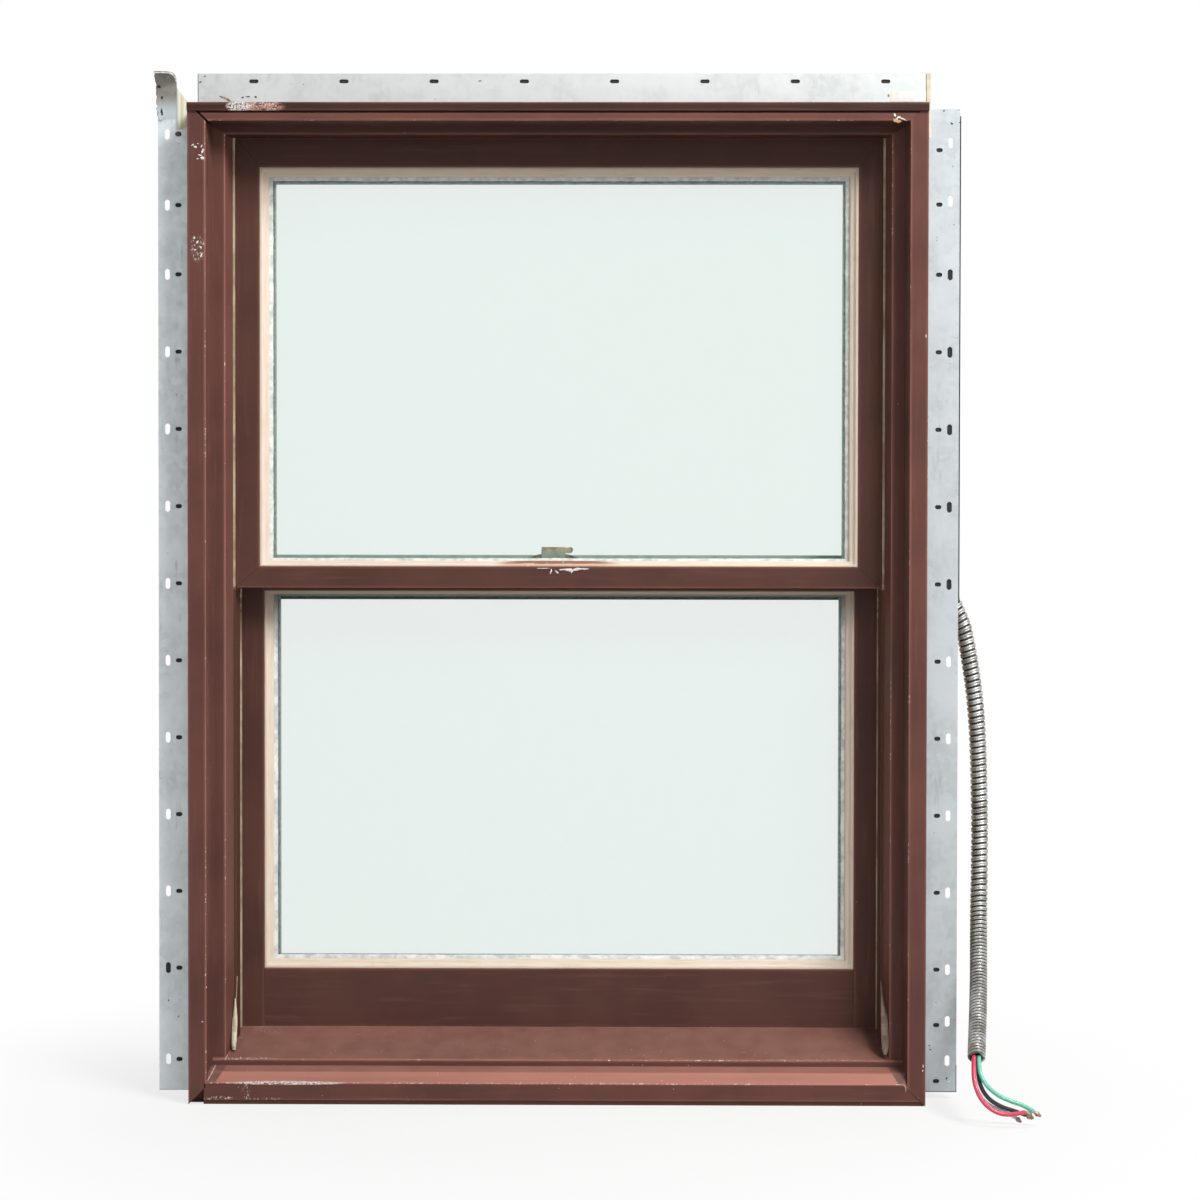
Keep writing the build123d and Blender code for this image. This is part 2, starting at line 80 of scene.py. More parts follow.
# Where the fade stops and the painted shade lies, in metres: the sill nose's top, the recess behind the
# head's face, the heights over which the shade grows below the head and below the meeting rail, that
# rail's top, and the sashes' plane
NOSE_TOP = 0.028
RECESS = (-0.0792, -0.074)
HEAD_SHADE = (1.17, 1.226)
RAIL_SHADE = (0.598, 0.652)
RAIL_TOP = (0.6905, 0.6895)
LOWER_SASH_PLANE = (0.0275, 0.0295)


# Shapes

def closed_outline(table):
    """Rounds each corner of a closed outline: between a point on the side before it and one on the
    side after it, both at the corner's reach, it is (1-t)^2 before + 2t(1-t) corner + t^2 after.
    One more point lies a margin further along each side. The columns of the table are u, v, start,
    end, reach, rub, fade and inside. Returns the points, their rub, and the side each face lies on."""
    table = np.array(table, float)
    corners = table[:, :4]
    onward = np.roll(corners, -1, 0) - corners
    back = np.roll(corners, 1, 0) - corners
    after = np.linalg.norm(onward[:, :2], axis=1)
    before = np.linalg.norm(back[:, :2], axis=1)
    reach = np.minimum(table[:, 4], 0.4 * np.minimum(after, before))
    t = np.linspace(0, 1, ARC_POINTS)[None, :, None]
    first = (corners + back * (reach / before)[:, None])[:, None]
    last = (corners + onward * (reach / after)[:, None])[:, None]
    arc = (1 - t) ** 2 * first + 2 * t * (1 - t) * corners[:, None] + t ** 2 * last
    far_first = corners + back * (np.minimum(reach + CORNER_MARGIN, 0.45 * before) / before)[:, None]
    far_last = corners + onward * (np.minimum(reach + CORNER_MARGIN, 0.45 * after) / after)[:, None]
    points = np.concatenate([far_first[:, None], arc, far_last[:, None]], 1)
    bulge = 0.45 + 0.55 * 4 * t[0, :, 0] * (1 - t[0, :, 0])
    rub = np.concatenate([[0], bulge, [0]])[None] * table[:, 5][:, None]
    side = np.arange(len(table))[:, None] - (np.arange(CORNER_POINTS)[None] < CORNER_POINTS // 2)
    return points.reshape(-1, 4), rub.ravel(), np.mod(side, len(table)).ravel()


def lattice_faces(rows, columns, closed_along=False, closed_across=True, capped=True):
    """Faces of a grid of rows by columns points, row by row, closed in either direction and
    capped at both ends."""
    i = np.arange(rows if closed_along else rows - 1)[:, None]
    j = np.arange(columns if closed_across else columns - 1)[None]
    i2, j2 = (i + 1) % rows, (j + 1) % columns
    quads = np.stack([i * columns + j, i * columns + j2, i2 * columns + j2, i2 * columns + j], -1)
    faces = quads.reshape(-1, 4).tolist()
    if capped:
        faces.append(list(range(columns))[::-1])
        faces.append(list(range((rows - 1) * columns, rows * columns)))
    return faces


def add_piece(name, points, faces, finish, replaces=(), point_values=(), face_values=(), sharp=40):
    """Makes one mesh piece from points in millimetres, riding on the window, with smooth faces
    that stay crisp at edges sharper than the given angle."""
    mesh = bpy.data.meshes.new(name)
    mesh.from_pydata((np.asarray(points).reshape(-1, 3) * MM).tolist(), [], faces)
    shape = bmesh.new()
    shape.from_mesh(mesh)
    bmesh.ops.recalc_face_normals(shape, faces=shape.faces)
    shape.to_mesh(mesh)
    shape.free()
    for label, values in dict(point_values).items():
        values = np.asarray(values, float)
        kind = "FLOAT" if values.ndim == 1 else "FLOAT_VECTOR"
        layer = mesh.attributes.new(label, kind, "POINT")
        layer.data.foreach_set("value" if values.ndim == 1 else "vector", values.ravel())
    for label, values in dict(face_values).items():
        layer = mesh.attributes.new(label, "FLOAT", "FACE")
        layer.data.foreach_set("value", np.asarray(values, float))
    mesh.shade_smooth()
    mesh.set_sharp_from_angle(angle=math.radians(sharp))
    piece = bpy.data.objects.new(name, mesh)
    bpy.context.scene.collection.objects.link(piece)
    mesh.materials.append(finish)
    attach(piece, "root")
    if replaces:
        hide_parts(*replaces)
    return piece


def moulding(name, table, place, finish, replaces=(), stations=30, sharp=40):
    """A bar with a rounded outline. Each point of the outline runs from its own start to its own
    end, so that the ends are mitred: position = start + t (end - start)."""
    outline, rub, side = closed_outline(table)
    t = np.linspace(0, 1, stations)[:, None]
    along = outline[None, :, 2] + t * (outline[None, :, 3] - outline[None, :, 2])
    u = np.broadcast_to(outline[None, :, 0], along.shape)
    v = np.broadcast_to(outline[None, :, 1], along.shape)
    points = np.stack(place(u, v, along), -1)
    rows, columns = along.shape
    faces = lattice_faces(rows, columns)
    data = np.array(table, float)
    per_side = np.roll(side, -1)
    fade = np.concatenate([np.tile(data[per_side, 6], rows - 1), [0, 0]])
    inside = np.concatenate([np.tile(data[per_side, 7], rows - 1), [0, 0]])
    return add_piece(name, points, faces, finish, replaces, {"rub": np.tile(rub, rows)},
                     {"fade": fade, "inside": inside}, sharp)


def ring(name, table, x_half, low, high, front, finish, replaces=(), wobble=0.0, seed=1,
         stations=70, foot=1.0, crown=1.0):
    """A mitred ring round an opening. Its outline is (inset, depth), and a point at inset w follows
    the rectangle that lies w inside the opening, foot times w above its lower side and crown times w
    below its upper side. Where the table's sixth column is above 0, the inset also wanders by a sum
    of sines of the way round."""
    outline, rub, _ = closed_outline(table)
    corners = np.arange(len(outline)) / CORNER_POINTS
    lanes = np.interp(corners, np.arange(len(table)), np.array(table)[:, 5])
    f = np.linspace(0, 1, stations, endpoint=False)
    lengths = np.array([2 * x_half, high - low, 2 * x_half, high - low])
    way = np.concatenate([s + f * length for s, length in zip(np.cumsum(lengths) - lengths, lengths)])
    phase = np.random.default_rng(seed).uniform(0, 2 * np.pi, 5)
    waves = 2 * np.pi * way[:, None] / np.array([310.0, 97.0, 41.0, 17.0, 9.0])[None] + phase
    wander = (np.sin(waves) * np.array([0.35, 0.3, 0.25, 0.25, 0.15])).sum(1) * wobble
    inset = outline[None, :, 0] + wander[:, None] * lanes[None]
    x0, x1, z0, z1 = -x_half + inset, x_half - inset, low + foot * inset, high - crown * inset
    part = np.repeat(np.arange(4), stations)[:, None]
    g = np.tile(f, 4)[:, None]
    x = np.choose(part, [x0 + g * (x1 - x0), x1, x1 + g * (x0 - x1), x0])
    z = np.choose(part, [z0, z0 + g * (z1 - z0), z1, z1 + g * (z0 - z1)])
    y = np.broadcast_to(front + outline[None, :, 1], x.shape)
    points = np.stack([x, y, z], -1)
    faces = lattice_faces(*x.shape, closed_along=True, capped=False)
    across = np.cumsum(np.linalg.norm(np.diff(outline[:, :2], axis=0, prepend=outline[:1, :2]), axis=1))
    grain = np.stack([way[:, None] + 0 * x, across + 0 * x, 0 * x], -1)
    return add_piece(name, points, faces, finish, replaces,
                     {"rub": np.tile(rub, len(way)), "grain": grain.reshape(-1, 3) * MM})


def smooth_curve(name, route, resolution):
    """Curve data for the smooth line that a route's points control."""
    data = bpy.data.curves.new(name, "CURVE")
    data.dimensions = "3D"
    spline = data.splines.new("NURBS")
    spline.points.add(len(route) - 1)
    spline.points.foreach_set("co", np.c_[np.array(route), np.ones(len(route))].ravel())
    spline.order_u = 3
    spline.use_endpoint_u = True
    spline.resolution_u = resolution
    return data


def spline_points(name, route):
    """Points along a smooth curve, in millimetres."""
    data = smooth_curve(name, route, 24)
    line = bpy.data.objects.new(name, data)
    mesh = bpy.data.meshes.new_from_object(line)
    points = np.empty(len(mesh.vertices) * 3)
    mesh.vertices.foreach_get("co", points)
    bpy.data.objects.remove(line)
    bpy.data.curves.remove(data)
    bpy.data.meshes.remove(mesh)
    return points.reshape(-1, 3) / MM


def evenly(points, step):
    """The same line with its points a step apart, by linear interpolation over its length."""
    run = np.concatenate([[0], np.cumsum(np.linalg.norm(np.diff(points, axis=0), axis=1))])
    at = np.linspace(0, run[-1], max(2, int(round(run[-1] / step)) + 1))
    return np.stack([np.interp(at, run, points[:, k]) for k in range(3)], 1), at


def around(points, upward):
    """Two directions square to a line at each of its points: upward with its part along the line
    taken away, and the cross product of the line with that."""
    ahead = np.gradient(points, axis=0)
    ahead /= np.linalg.norm(ahead, axis=1)[:, None]
    side = np.array(upward, float)[None] - (ahead @ np.array(upward, float))[:, None] * ahead
    side /= np.linalg.norm(side, axis=1)[:, None]
    return side, np.cross(ahead, side)


def tube_points(points, radius, upward, columns):
    """Grid of a tube: point + radius (cos a side + sin a other), where radius may change with
    the row and with the angle."""
    side, other = around(points, upward)
    angle = np.linspace(0, 2 * np.pi, columns, endpoint=False)
    radius = np.broadcast_to(radius, (len(points), columns))[..., None]
    angle = angle[None, :, None]
    direction = np.cos(angle) * side[:, None] + np.sin(angle) * other[:, None]
    return points[:, None] + radius * direction


def at_depth(depth, rows):
    """Rows of flakes that all lie at one depth, which goes after their x."""
    return [(x, depth, *rest) for x, *rest in rows]


def flakes(name, rows, finish, seed, thickness=0.25):
    """Thin irregular flakes on a face that looks outside. Each row gives x, depth, z, half length,
    half width and tilt. The outline's radius is 1 + 0.3 sin(2a + p) + 0.22 sin(5a + q), and the
    flake is 0.8 of its thickness high at 0.93 of the radius and full at half of it."""
    rows = np.array(rows, float)
    columns = 14
    random = np.random.default_rng(seed)
    p, q = random.uniform(0, 2 * np.pi, (2, len(rows), 1, 1))
    angle = np.linspace(0, 2 * np.pi, columns, endpoint=False)[None, None, :]
    radius = np.array([1.0, 0.93, 0.5])[None, :, None]
    lift = np.array([0.0, 0.8, 1.0])[None, :, None] * thickness
    edge = 1 + 0.3 * np.sin(2 * angle + p) + 0.22 * np.sin(5 * angle + q)
    x, depth, z, length, width, tilt = rows.T[:, :, None, None]
    a = radius * edge * np.cos(angle) * length
    b = radius * edge * np.sin(angle) * width
    tilt = np.radians(tilt)
    across = a * np.cos(tilt) - b * np.sin(tilt)
    up = a * np.sin(tilt) + b * np.cos(tilt)
    grid = np.stack([x + across, FRONT + depth - lift + 0 * across, z + up], -1)
    size = 3 * columns
    sides = np.array(lattice_faces(3, columns, capped=False))
    caps = np.array([list(range(columns))[::-1], list(range(size - columns, size))])
    faces = []
    for start in range(0, size * len(rows), size):
        faces += (sides + start).tolist() + (caps + start).tolist()
    return add_piece(name, grid, faces, finish, sharp=75)


def strand(name, route, radius, finish, taper=0.5):
    """A thin line of material along a route of (x, depth, z) points, thinner towards its ends."""
    route = np.array(route, float) + np.array([0.0, FRONT, 0.0])
    points, run = evenly(route, 1.2)
    share = run / run[-1]
    swell = 1 - taper * (2 * share - 1) ** 2 + 0.22 * np.sin(run / 1.7) + 0.16 * np.sin(run / 0.8 + 1)
    grid = tube_points(points, radius * swell[:, None], (0.1, 1.0, 0.3), 8)
    return add_piece(name, grid, lattice_faces(*grid.shape[:2]), finish)


def leaf(name, rows, finish):
    """A bent sheet 0.8 mm thick. Each row gives z, left x, right x and depth, and across it the sheet
    bows forwards by 1.2 sin(pi t)."""
    rows = np.array(rows, float)
    at = np.linspace(0, len(rows) - 1, 24)
    z, left, right, depth = [np.interp(at, np.arange(len(rows)), column) for column in rows.T]
    t = np.linspace(0, 1, 8)
    t = np.concatenate([t, t[::-1]])[None]
    behind = np.repeat([0.0, 0.8], 8)[None]
    x = left[:, None] + t * (right - left)[:, None]
    y = FRONT + depth[:, None] - 1.2 * np.sin(np.pi * t) + behind
    grid = np.stack([x, y, np.broadcast_to(z[:, None], x.shape)], -1)
    return add_piece(name, grid, lattice_faces(*x.shape), finish, sharp=60)


def dress(names, finish):
    """Gives CAD nodes a finish."""
    for name in names:
        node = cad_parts[name]
        node.data.materials.clear()
        node.data.materials.append(finish)


def rectangle(x0, x1, z0, z1):
    """An outline from its left, right, lower and upper side."""
    return [(x0, z0), (x1, z0), (x1, z1), (x0, z1)]


def extruded(name, outline, depth0, depth1, bevel, finish, replaces=()):
    """An outline of (x, z) points drawn through the depth, a little smaller at both ends: at the
    ends each point lies a bevel nearer to the outline's middle."""
    outline = np.array(outline, float)
    middle = (outline.max(0) + outline.min(0)) / 2
    inward = middle - outline
    inward /= np.maximum(np.abs(inward), 1e-6).max(1)[:, None]
    small = outline + inward * bevel
    stack = [(small, depth0), (outline, depth0 + bevel), (outline, depth1 - bevel), (small, depth1)]
    grid = np.stack([np.stack([o[:, 0], np.full(len(o), FRONT + d), o[:, 1]], -1) for o, d in stack])
    return add_piece(name, grid, lattice_faces(*grid.shape[:2]), finish, replaces, sharp=30)


# Finishes

def shade(red, green, blue):
    """A colour as it is seen, 0 to 255, as the linear colour that a shader takes."""
    seen = np.array([red, green, blue]) / 255
    linear = np.where(seen <= 0.04045, seen / 12.92, ((seen + 0.055) / 1.055) ** 2.4)
    return (*[float(v) for v in linear], 1.0)


def scaled(colour, factor):
    """A colour darker or paler by a factor."""
    return (*[min(1.0, c * factor) for c in colour[:3]], 1.0)


# Depth of every bump, in metres
BUMP_DEPTH = 0.0004


class Wiring:
    """The nodes of a material or of the surroundings, wired as they are made."""

    def __init__(self, owner):
        owner.use_nodes = True
        self.nodes = owner.node_tree.nodes
        self.links = owner.node_tree.links

    def add(self, kind, **settings):
        node = self.nodes.new(kind)
        for key, value in settings.items():
            setattr(node, key, value)
        return node

    def put(self, socket, value):
        if isinstance(value, bpy.types.NodeSocket):
            self.links.new(value, socket)
        else:
            socket.default_value = value

    def sum(self, operation, a, b=0.0, clamp=False):
        node = self.add("ShaderNodeMath", operation=operation, use_clamp=clamp)
        self.put(node.inputs[0], a)
        self.put(node.inputs[1], b)
        return node.outputs[0]

    def times(self, a, b, clamp=False):
        return self.sum("MULTIPLY", a, b, clamp)

    def seen(self):
        """1 for rays from the camera, straight, through glass or mirrored."""
        rays = self.add("ShaderNodeLightPath").outputs
        straight = self.sum("MAXIMUM", rays["Is Camera Ray"], rays["Is Transmission Ray"])
        return self.sum("MAXIMUM", straight, rays["Is Glossy Ray"])

    def mix_out(self, share, first, second, output):
        """Mixes two shaders by a share and sends them to an output node."""
        node = self.add("ShaderNodeMixShader")
        for socket, source in zip(node.inputs, (share, first.outputs[0], second.outputs[0])):
            self.put(socket, source)
        self.put(self.nodes[output].inputs["Surface"], node.outputs[0])


class Finish(Wiring):
    """One material, its shader and where its patterns are placed."""

    def __init__(self, name):
        self.material = bpy.data.materials.new(name)
        super().__init__(self.material)
        self.shader = self.nodes["Principled BSDF"]
        self.place = self.add("ShaderNodeTexCoord").outputs["Object"]

    def stretched(self, source, scale):
        node = self.add("ShaderNodeMapping")
        self.put(node.inputs["Vector"], source)
        node.inputs["Scale"].default_value = scale
        return node.outputs[0]

    def noise(self, scale, detail=4.0, roughness=0.55, stretch=(1, 1, 1), source=None):
        node = self.add("ShaderNodeTexNoise")
        self.put(node.inputs["Vector"], self.stretched(source or self.place, stretch))
        node.inputs["Scale"].default_value = scale
        node.inputs["Detail"].default_value = detail
        node.inputs["Roughness"].default_value = roughness
        return node.outputs["Fac"]

    def cells(self, scale, output="Distance"):
        node = self.add("ShaderNodeTexVoronoi")
        self.put(node.inputs["Vector"], self.place)
        node.inputs["Scale"].default_value = scale
        return node.outputs[output]

    def between(self, value, low, high, to_low=0.0, to_high=1.0):
        node = self.add("ShaderNodeMapRange", interpolation_type="SMOOTHSTEP")
        self.put(node.inputs["Value"], value)
        node.inputs["From Min"].default_value = low
        node.inputs["From Max"].default_value = high
        node.inputs["To Min"].default_value = to_low
        node.inputs["To Max"].default_value = to_high
        return node.outputs["Result"]

    def blend(self, factor, a, b, kind="MIX"):
        node = self.add("ShaderNodeMix", data_type="RGBA", blend_type=kind)
        self.put(node.inputs["Factor"], factor)
        self.put(node.inputs["A"], a)
        self.put(node.inputs["B"], b)
        return node.outputs["Result"]

    def value(self, label):
        return self.add("ShaderNodeAttribute", attribute_name=label).outputs["Fac"]

    def axis(self, which):
        node = self.add("ShaderNodeSeparateXYZ")
        self.put(node.inputs[0], self.place)
        return node.outputs[which]

    def facing_up(self):
        node = self.add("ShaderNodeSeparateXYZ")
        self.put(node.inputs[0], self.add("ShaderNodeNewGeometry").outputs["Normal"])
        return node.outputs["Z"]

    def patch(self, centre, size):
        """1 inside an ellipse of the x and z given, in metres, and 0 outside it."""
        dx = self.sum("DIVIDE", self.sum("SUBTRACT", self.axis("X"), centre[0]), size[0])
        dz = self.sum("DIVIDE", self.sum("SUBTRACT", self.axis("Z"), centre[1]), size[1])
        squares = self.sum("ADD", self.times(dx, dx), self.times(dz, dz))
        return self.between(squares, 1.0, 0.35)

    def surface(self, colour, roughness, metallic=0.0, bump=None, strength=0.2, gloss=0.5):
        self.shader.inputs["Specular IOR Level"].default_value = gloss
        self.put(self.shader.inputs["Base Color"], colour)
        self.put(self.shader.inputs["Roughness"], roughness)
        self.shader.inputs["Metallic"].default_value = metallic
        if bump is not None:
            node = self.add("ShaderNodeBump")
            node.inputs["Strength"].default_value = strength
            node.inputs["Distance"].default_value = BUMP_DEPTH
            self.put(node.inputs["Height"], bump)
            self.put(self.shader.inputs["Normal"], node.outputs["Normal"])
        return self.material


def enamel(name, colour, dusty, rubbed, dust=0.5, specks=0.5, along="Z", marks=(), worn=(), fade_end=9.0,
           painted_shade=0.0, recess=0.0):
    """Old brown enamel: clouded and streaked along the bar, chalky where it faces up, rubbed pale
    on its edges with white chips, and sprinkled with white specks. The inside of a sash is wood.
    Marks are ellipses of x and z with torn white paint, worn ones are rubbed pale, and a faded side
    stops where |x| + 0.65 (z - nose top) passes the fade's end. A painted shade darkens it under the
    rails, and another in the recess behind its front face."""
    f = Finish(name)
    stretch = (1, 1, 0.06) if along == "Z" else (0.06, 1, 1)
    cloud = f.noise(9.0, 3.0)
    streak = f.noise(160.0, 3.0, 0.6, stretch)
    fine = f.noise(900.0, 2.0)
    # Dark brown of the painted shade under the rails and in the recess
    painted_shade_brown = shade(24, 14, 12)
    tone = f.blend(f.between(cloud, 0.3, 0.7), scaled(colour, 0.86), scaled(colour, 1.14))
    tone = f.blend(f.between(streak, 0.5, 0.85, 0.0, 0.22), tone, dusty)
    up = f.times(f.between(f.facing_up(), 0.2, 0.95), f.between(f.noise(30.0), 0.25, 0.7, 0.45, 1.0))
    tone = f.blend(f.times(up, dust, True), tone, dusty)
    reach = f.sum("ADD", f.sum("ABSOLUTE", f.axis("X")),
                  f.times(f.sum("SUBTRACT", f.axis("Z"), NOSE_TOP), 0.65))
    limit = f.between(reach, fade_end, fade_end - 0.002)
    faded = f.times(f.value("fade"), f.between(f.noise(24.0, 5.0, 0.6, stretch), 0.3, 0.6, 0.6, 1.0))
    tone = f.blend(f.times(faded, limit), tone, rubbed)
    # Painted shade under the head and under the meeting rail
    tone = f.blend(f.times(painted_shade_under_rails(f), painted_shade), tone, painted_shade_brown)
    # Painted shade in the recess behind the front face
    if recess:
        tone = f.blend(f.times(f.between(f.axis("Y"), *RECESS), recess), tone, painted_shade_brown)
    edge = f.times(f.value("rub"), f.between(f.noise(70.0, 6.0, 0.7, stretch), 0.3, 0.6, 0.25, 1.0))
    tone = f.blend(f.times(edge, 0.6), tone, rubbed)
    for centre, size in worn:
        bare = f.between(f.noise(60.0, 6.0, 0.7, (1, 1, 2.5)), 0.36, 0.62)
        tone = f.blend(f.times(bare, f.patch(centre, size)), tone, rubbed)
    chips = f.sum("ADD", f.times(f.value("rub"), 0.3), f.noise(240.0, 5.0, 0.7))
    chips = f.times(f.between(chips, 0.84, 0.88), f.between(f.noise(11.0), 0.5, 0.6))
    spot = f.between(f.cells(260.0), 0.16, 0.1)
    spot = f.times(spot, f.between(f.noise(75.0, 2.0), 0.74 - 0.08 * specks, 0.78 - 0.08 * specks))
    white = f.sum("MAXIMUM", chips, f.times(spot, 0.8))
    for centre, size, threshold in marks:
        torn = f.between(f.noise(520.0, 6.0, 0.75), threshold, threshold + 0.04)
        white = f.sum("MAXIMUM", white, f.times(torn, f.patch(centre, size)))
    tone = f.blend(white, tone, shade(226, 221, 214))
    rings = f.between(f.noise(130.0, 5.0, 0.6, stretch), 0.35, 0.7)
    wood = f.blend(rings, shade(196, 158, 112), shade(226, 190, 142))
    tone = f.blend(f.value("inside"), tone, wood)
    bump = f.sum("ADD", f.times(fine, 0.3), f.times(streak, 0.5))
    bump = f.sum("ADD", bump, f.times(white, 0.8))
    return f.surface(tone, f.between(cloud, 0.3, 0.7, 0.45, 0.6), bump=bump, strength=0.25, gloss=0.16)


def pine(name, along):
    """Bare softwood: growth rings stretched along the bar, knots and grey stains. Near the outside of
    the frame, where only gaps show it, it is painted dark: a painted shade for those gaps."""
    f = Finish(name)
    stretch = (1, 1, 0.05) if along == "Z" else (0.05, 1, 1)
    rings = f.noise(70.0, 4.0, 0.6, stretch)
    fibre = f.noise(500.0, 3.0, 0.7, stretch)
    tone = f.blend(f.between(rings, 0.35, 0.65), shade(190, 150, 103), shade(219, 183, 134))
    tone = f.blend(f.between(fibre, 0.5, 0.8, 0.0, 0.5), tone, shade(150, 108, 66))
    tone = f.blend(f.between(f.noise(5.0), 0.52, 0.75, 0.0, 0.45), tone, shade(120, 104, 86))
    # Painted shade: dark near the outside of the frame, where only gaps show the wood
    tone = f.blend(f.between(f.axis("Y"), -0.012, -0.05), tone, shade(48, 27, 21))
    return f.surface(tone, 0.7, bump=f.sum("ADD", rings, fibre), strength=0.2, gloss=0.1)


def liner_vinyl(name):
    """Cream vinyl of the jamb liners, yellowed and dusty, and painted brown in the outer track
    below the upper sash."""
    f = Finish(name)
    cloud = f.noise(25.0, 5.0, 0.6)
    tone = f.blend(f.between(cloud, 0.35, 0.68), shade(196, 182, 158), shade(150, 130, 108))
    ragged = f.sum("ADD", f.axis("Y"), f.times(f.noise(90.0, 5.0, 0.7), 0.003))
    painted = f.times(f.between(ragged, 0.0262, 0.0252), f.between(f.axis("Z"), 0.662, 0.655))
    smut = f.times(f.between(f.axis("Z"), 0.56, 0.63), f.between(f.noise(130.0, 4.0), 0.4, 0.5))
    tone = f.blend(f.times(smut, f.between(f.axis("Z"), 0.7, 0.66)), tone, shade(150, 116, 100))
    tone = f.blend(painted, tone, shade(84, 52, 42))
    return f.surface(tone, 0.55, bump=cloud, strength=0.1, gloss=0.25)


def gusset_tape(name):
    """Ivory web with upright folds that are bumped and drawn in painted shade, greyed along its outer
    edge, and with a painted shadow where it meets the jamb.
    """
    f = Finish(name)
    folds = f.noise(420.0, 3.0, 0.6, (1, 1, 0.02))
    # Darker lines along the folds: painted shade of the folds
    tone = f.blend(f.between(folds, 0.35, 0.7), shade(244, 239, 216), shade(216, 206, 176))
    tone = f.blend(f.between(f.axis("X"), -0.4885, -0.4905), tone, shade(196, 200, 200))
    # A painted shadow along the jamb side, widening towards the foot
    corner = f.sum("SUBTRACT", f.axis("X"), f.times(f.sum("SUBTRACT", f.axis("Z"), 1.26), 0.12))
    tone = f.blend(f.between(corner, -0.4735, -0.471), tone, shade(74, 70, 58))
    return f.surface(tone, 0.6, bump=folds, strength=0.4, gloss=0.2)


def zinc(name, dark, pale, grime, below=None):
    """Galvanised sheet: spangle cells of slightly different greys, cloudy dull areas, thin
    scratches and rust-brown or black specks. At the torn end's foot it takes the colour below."""
    f = Finish(name)
    cell = f.add("ShaderNodeSeparateColor")
    f.put(cell.inputs[0], f.cells(140.0, output="Color"))
    tone = f.blend(f.between(cell.outputs[0], 0.0, 1.0, 0.3, 0.7), dark, pale)
    tone = f.blend(f.between(f.noise(14.0, 5.0, 0.6), 0.38, 0.66), tone, pale)
    streak = f.noise(60.0, 5.0, 0.7, (1, 1, 0.15))
    tone = f.blend(f.between(streak, 0.58, 0.74, 0.0, grime), tone, shade(128, 132, 132))
    speck = f.times(f.between(f.cells(120.0), 0.12, 0.07), f.between(f.noise(50.0), 0.6, 0.66))
    tone = f.blend(f.times(speck, 0.85), tone, shade(60, 52, 46))
    if below:
        tone = f.blend(f.between(f.axis("Z"), 1.296, 1.266), tone, below)
    rough = f.between(cell.outputs[1], 0.0, 1.0, 0.38, 0.55)
    return f.surface(tone, rough, 0.35, f.sum("ADD", cell.outputs[0], streak), 0.12)


def painted_shade_under_rails(f):
    """1 right under the head and under the meeting rail, where a painted shade darkens the finish,
    falling to 0 about 60 mm below them."""
    height = f.axis("Z")
    rail = f.times(f.between(height, *RAIL_SHADE), f.between(height, *RAIL_TOP))
    behind = f.between(f.axis("Y"), *LOWER_SASH_PLANE)
    return f.sum("MAXIMUM", f.between(height, *HEAD_SHADE), f.times(rail, behind))


def bead_paint(name):
    """Cream primer over wood: grain along the bead, clouds of dirt, a painted shade under the head and
    the meeting rail, and the paint gone to orange wood beside the lock, which carries a painted
    highlight along its lower edge."""
    f = Finish(name)
    way = f.add("ShaderNodeAttribute", attribute_name="grain").outputs["Vector"]
    grain = f.noise(420.0, 4.0, 0.6, (0.05, 1, 1), way)
    tone = f.blend(f.between(grain, 0.45, 0.8), shade(227, 211, 194), shade(211, 186, 162))
    tone = f.blend(f.between(f.noise(30.0, 5.0, 0.65), 0.55, 0.8, 0.0, 0.4), tone, shade(206, 166, 138))
    torn = f.between(f.noise(90.0, 5.0, 0.7), 0.3, 0.42)
    bare = f.times(f.patch((-0.002, 0.690), (0.088, 0.009)), torn)
    # Where the paint is gone, the bare wood is pale along its lower edge: a painted highlight
    wavy = f.sum("ADD", f.axis("Z"), f.times(f.noise(30.0, 3.0, 0.6, (1, 1, 0.1)), 0.004))
    wood = f.blend(f.between(wavy, 0.6920, 0.6936), shade(214, 178, 154), shade(146, 102, 82))
    tone = f.blend(bare, tone, wood)
    # Painted shade under the head and under the meeting rail
    tone = f.blend(f.times(painted_shade_under_rails(f), 0.62), tone, shade(112, 96, 80))
    return f.surface(tone, 0.6, bump=grain, strength=0.15, gloss=0.25)


def plain(name, colour, other, roughness, scale=60.0, metallic=0.0, strength=0.15, spread=(0.35, 0.68),
          painted_shade=0.0):
    """A finish clouded between two colours, with a fine grain, and darker under the rails by its share
    of painted shade."""
    f = Finish(name)
    cloud = f.noise(scale, 5.0, 0.6)
    fine = f.noise(scale * 12, 2.0)
    tone = f.blend(f.between(cloud, *spread), colour, other)
    if painted_shade:
        # Painted shade under the head and under the meeting rail
        tone = f.blend(f.times(painted_shade_under_rails(f), painted_shade), tone, shade(66, 64, 58))
    rough = f.between(cloud, 0.3, 0.7, roughness - 0.06, roughness + 0.08)
    return f.surface(tone, rough, metallic, f.sum("ADD", cloud, f.times(fine, 0.5)), strength)


def glass_pane(name, colour):
    """Clear float glass: a thin film that takes a little red light away and leaves a green tint."""
    f = Finish(name)
    f.put(f.shader.inputs["Base Color"], colour)
    f.put(f.shader.inputs["Roughness"], 0.05)
    f.shader.inputs["Alpha"].default_value = 0.058
    return f.material


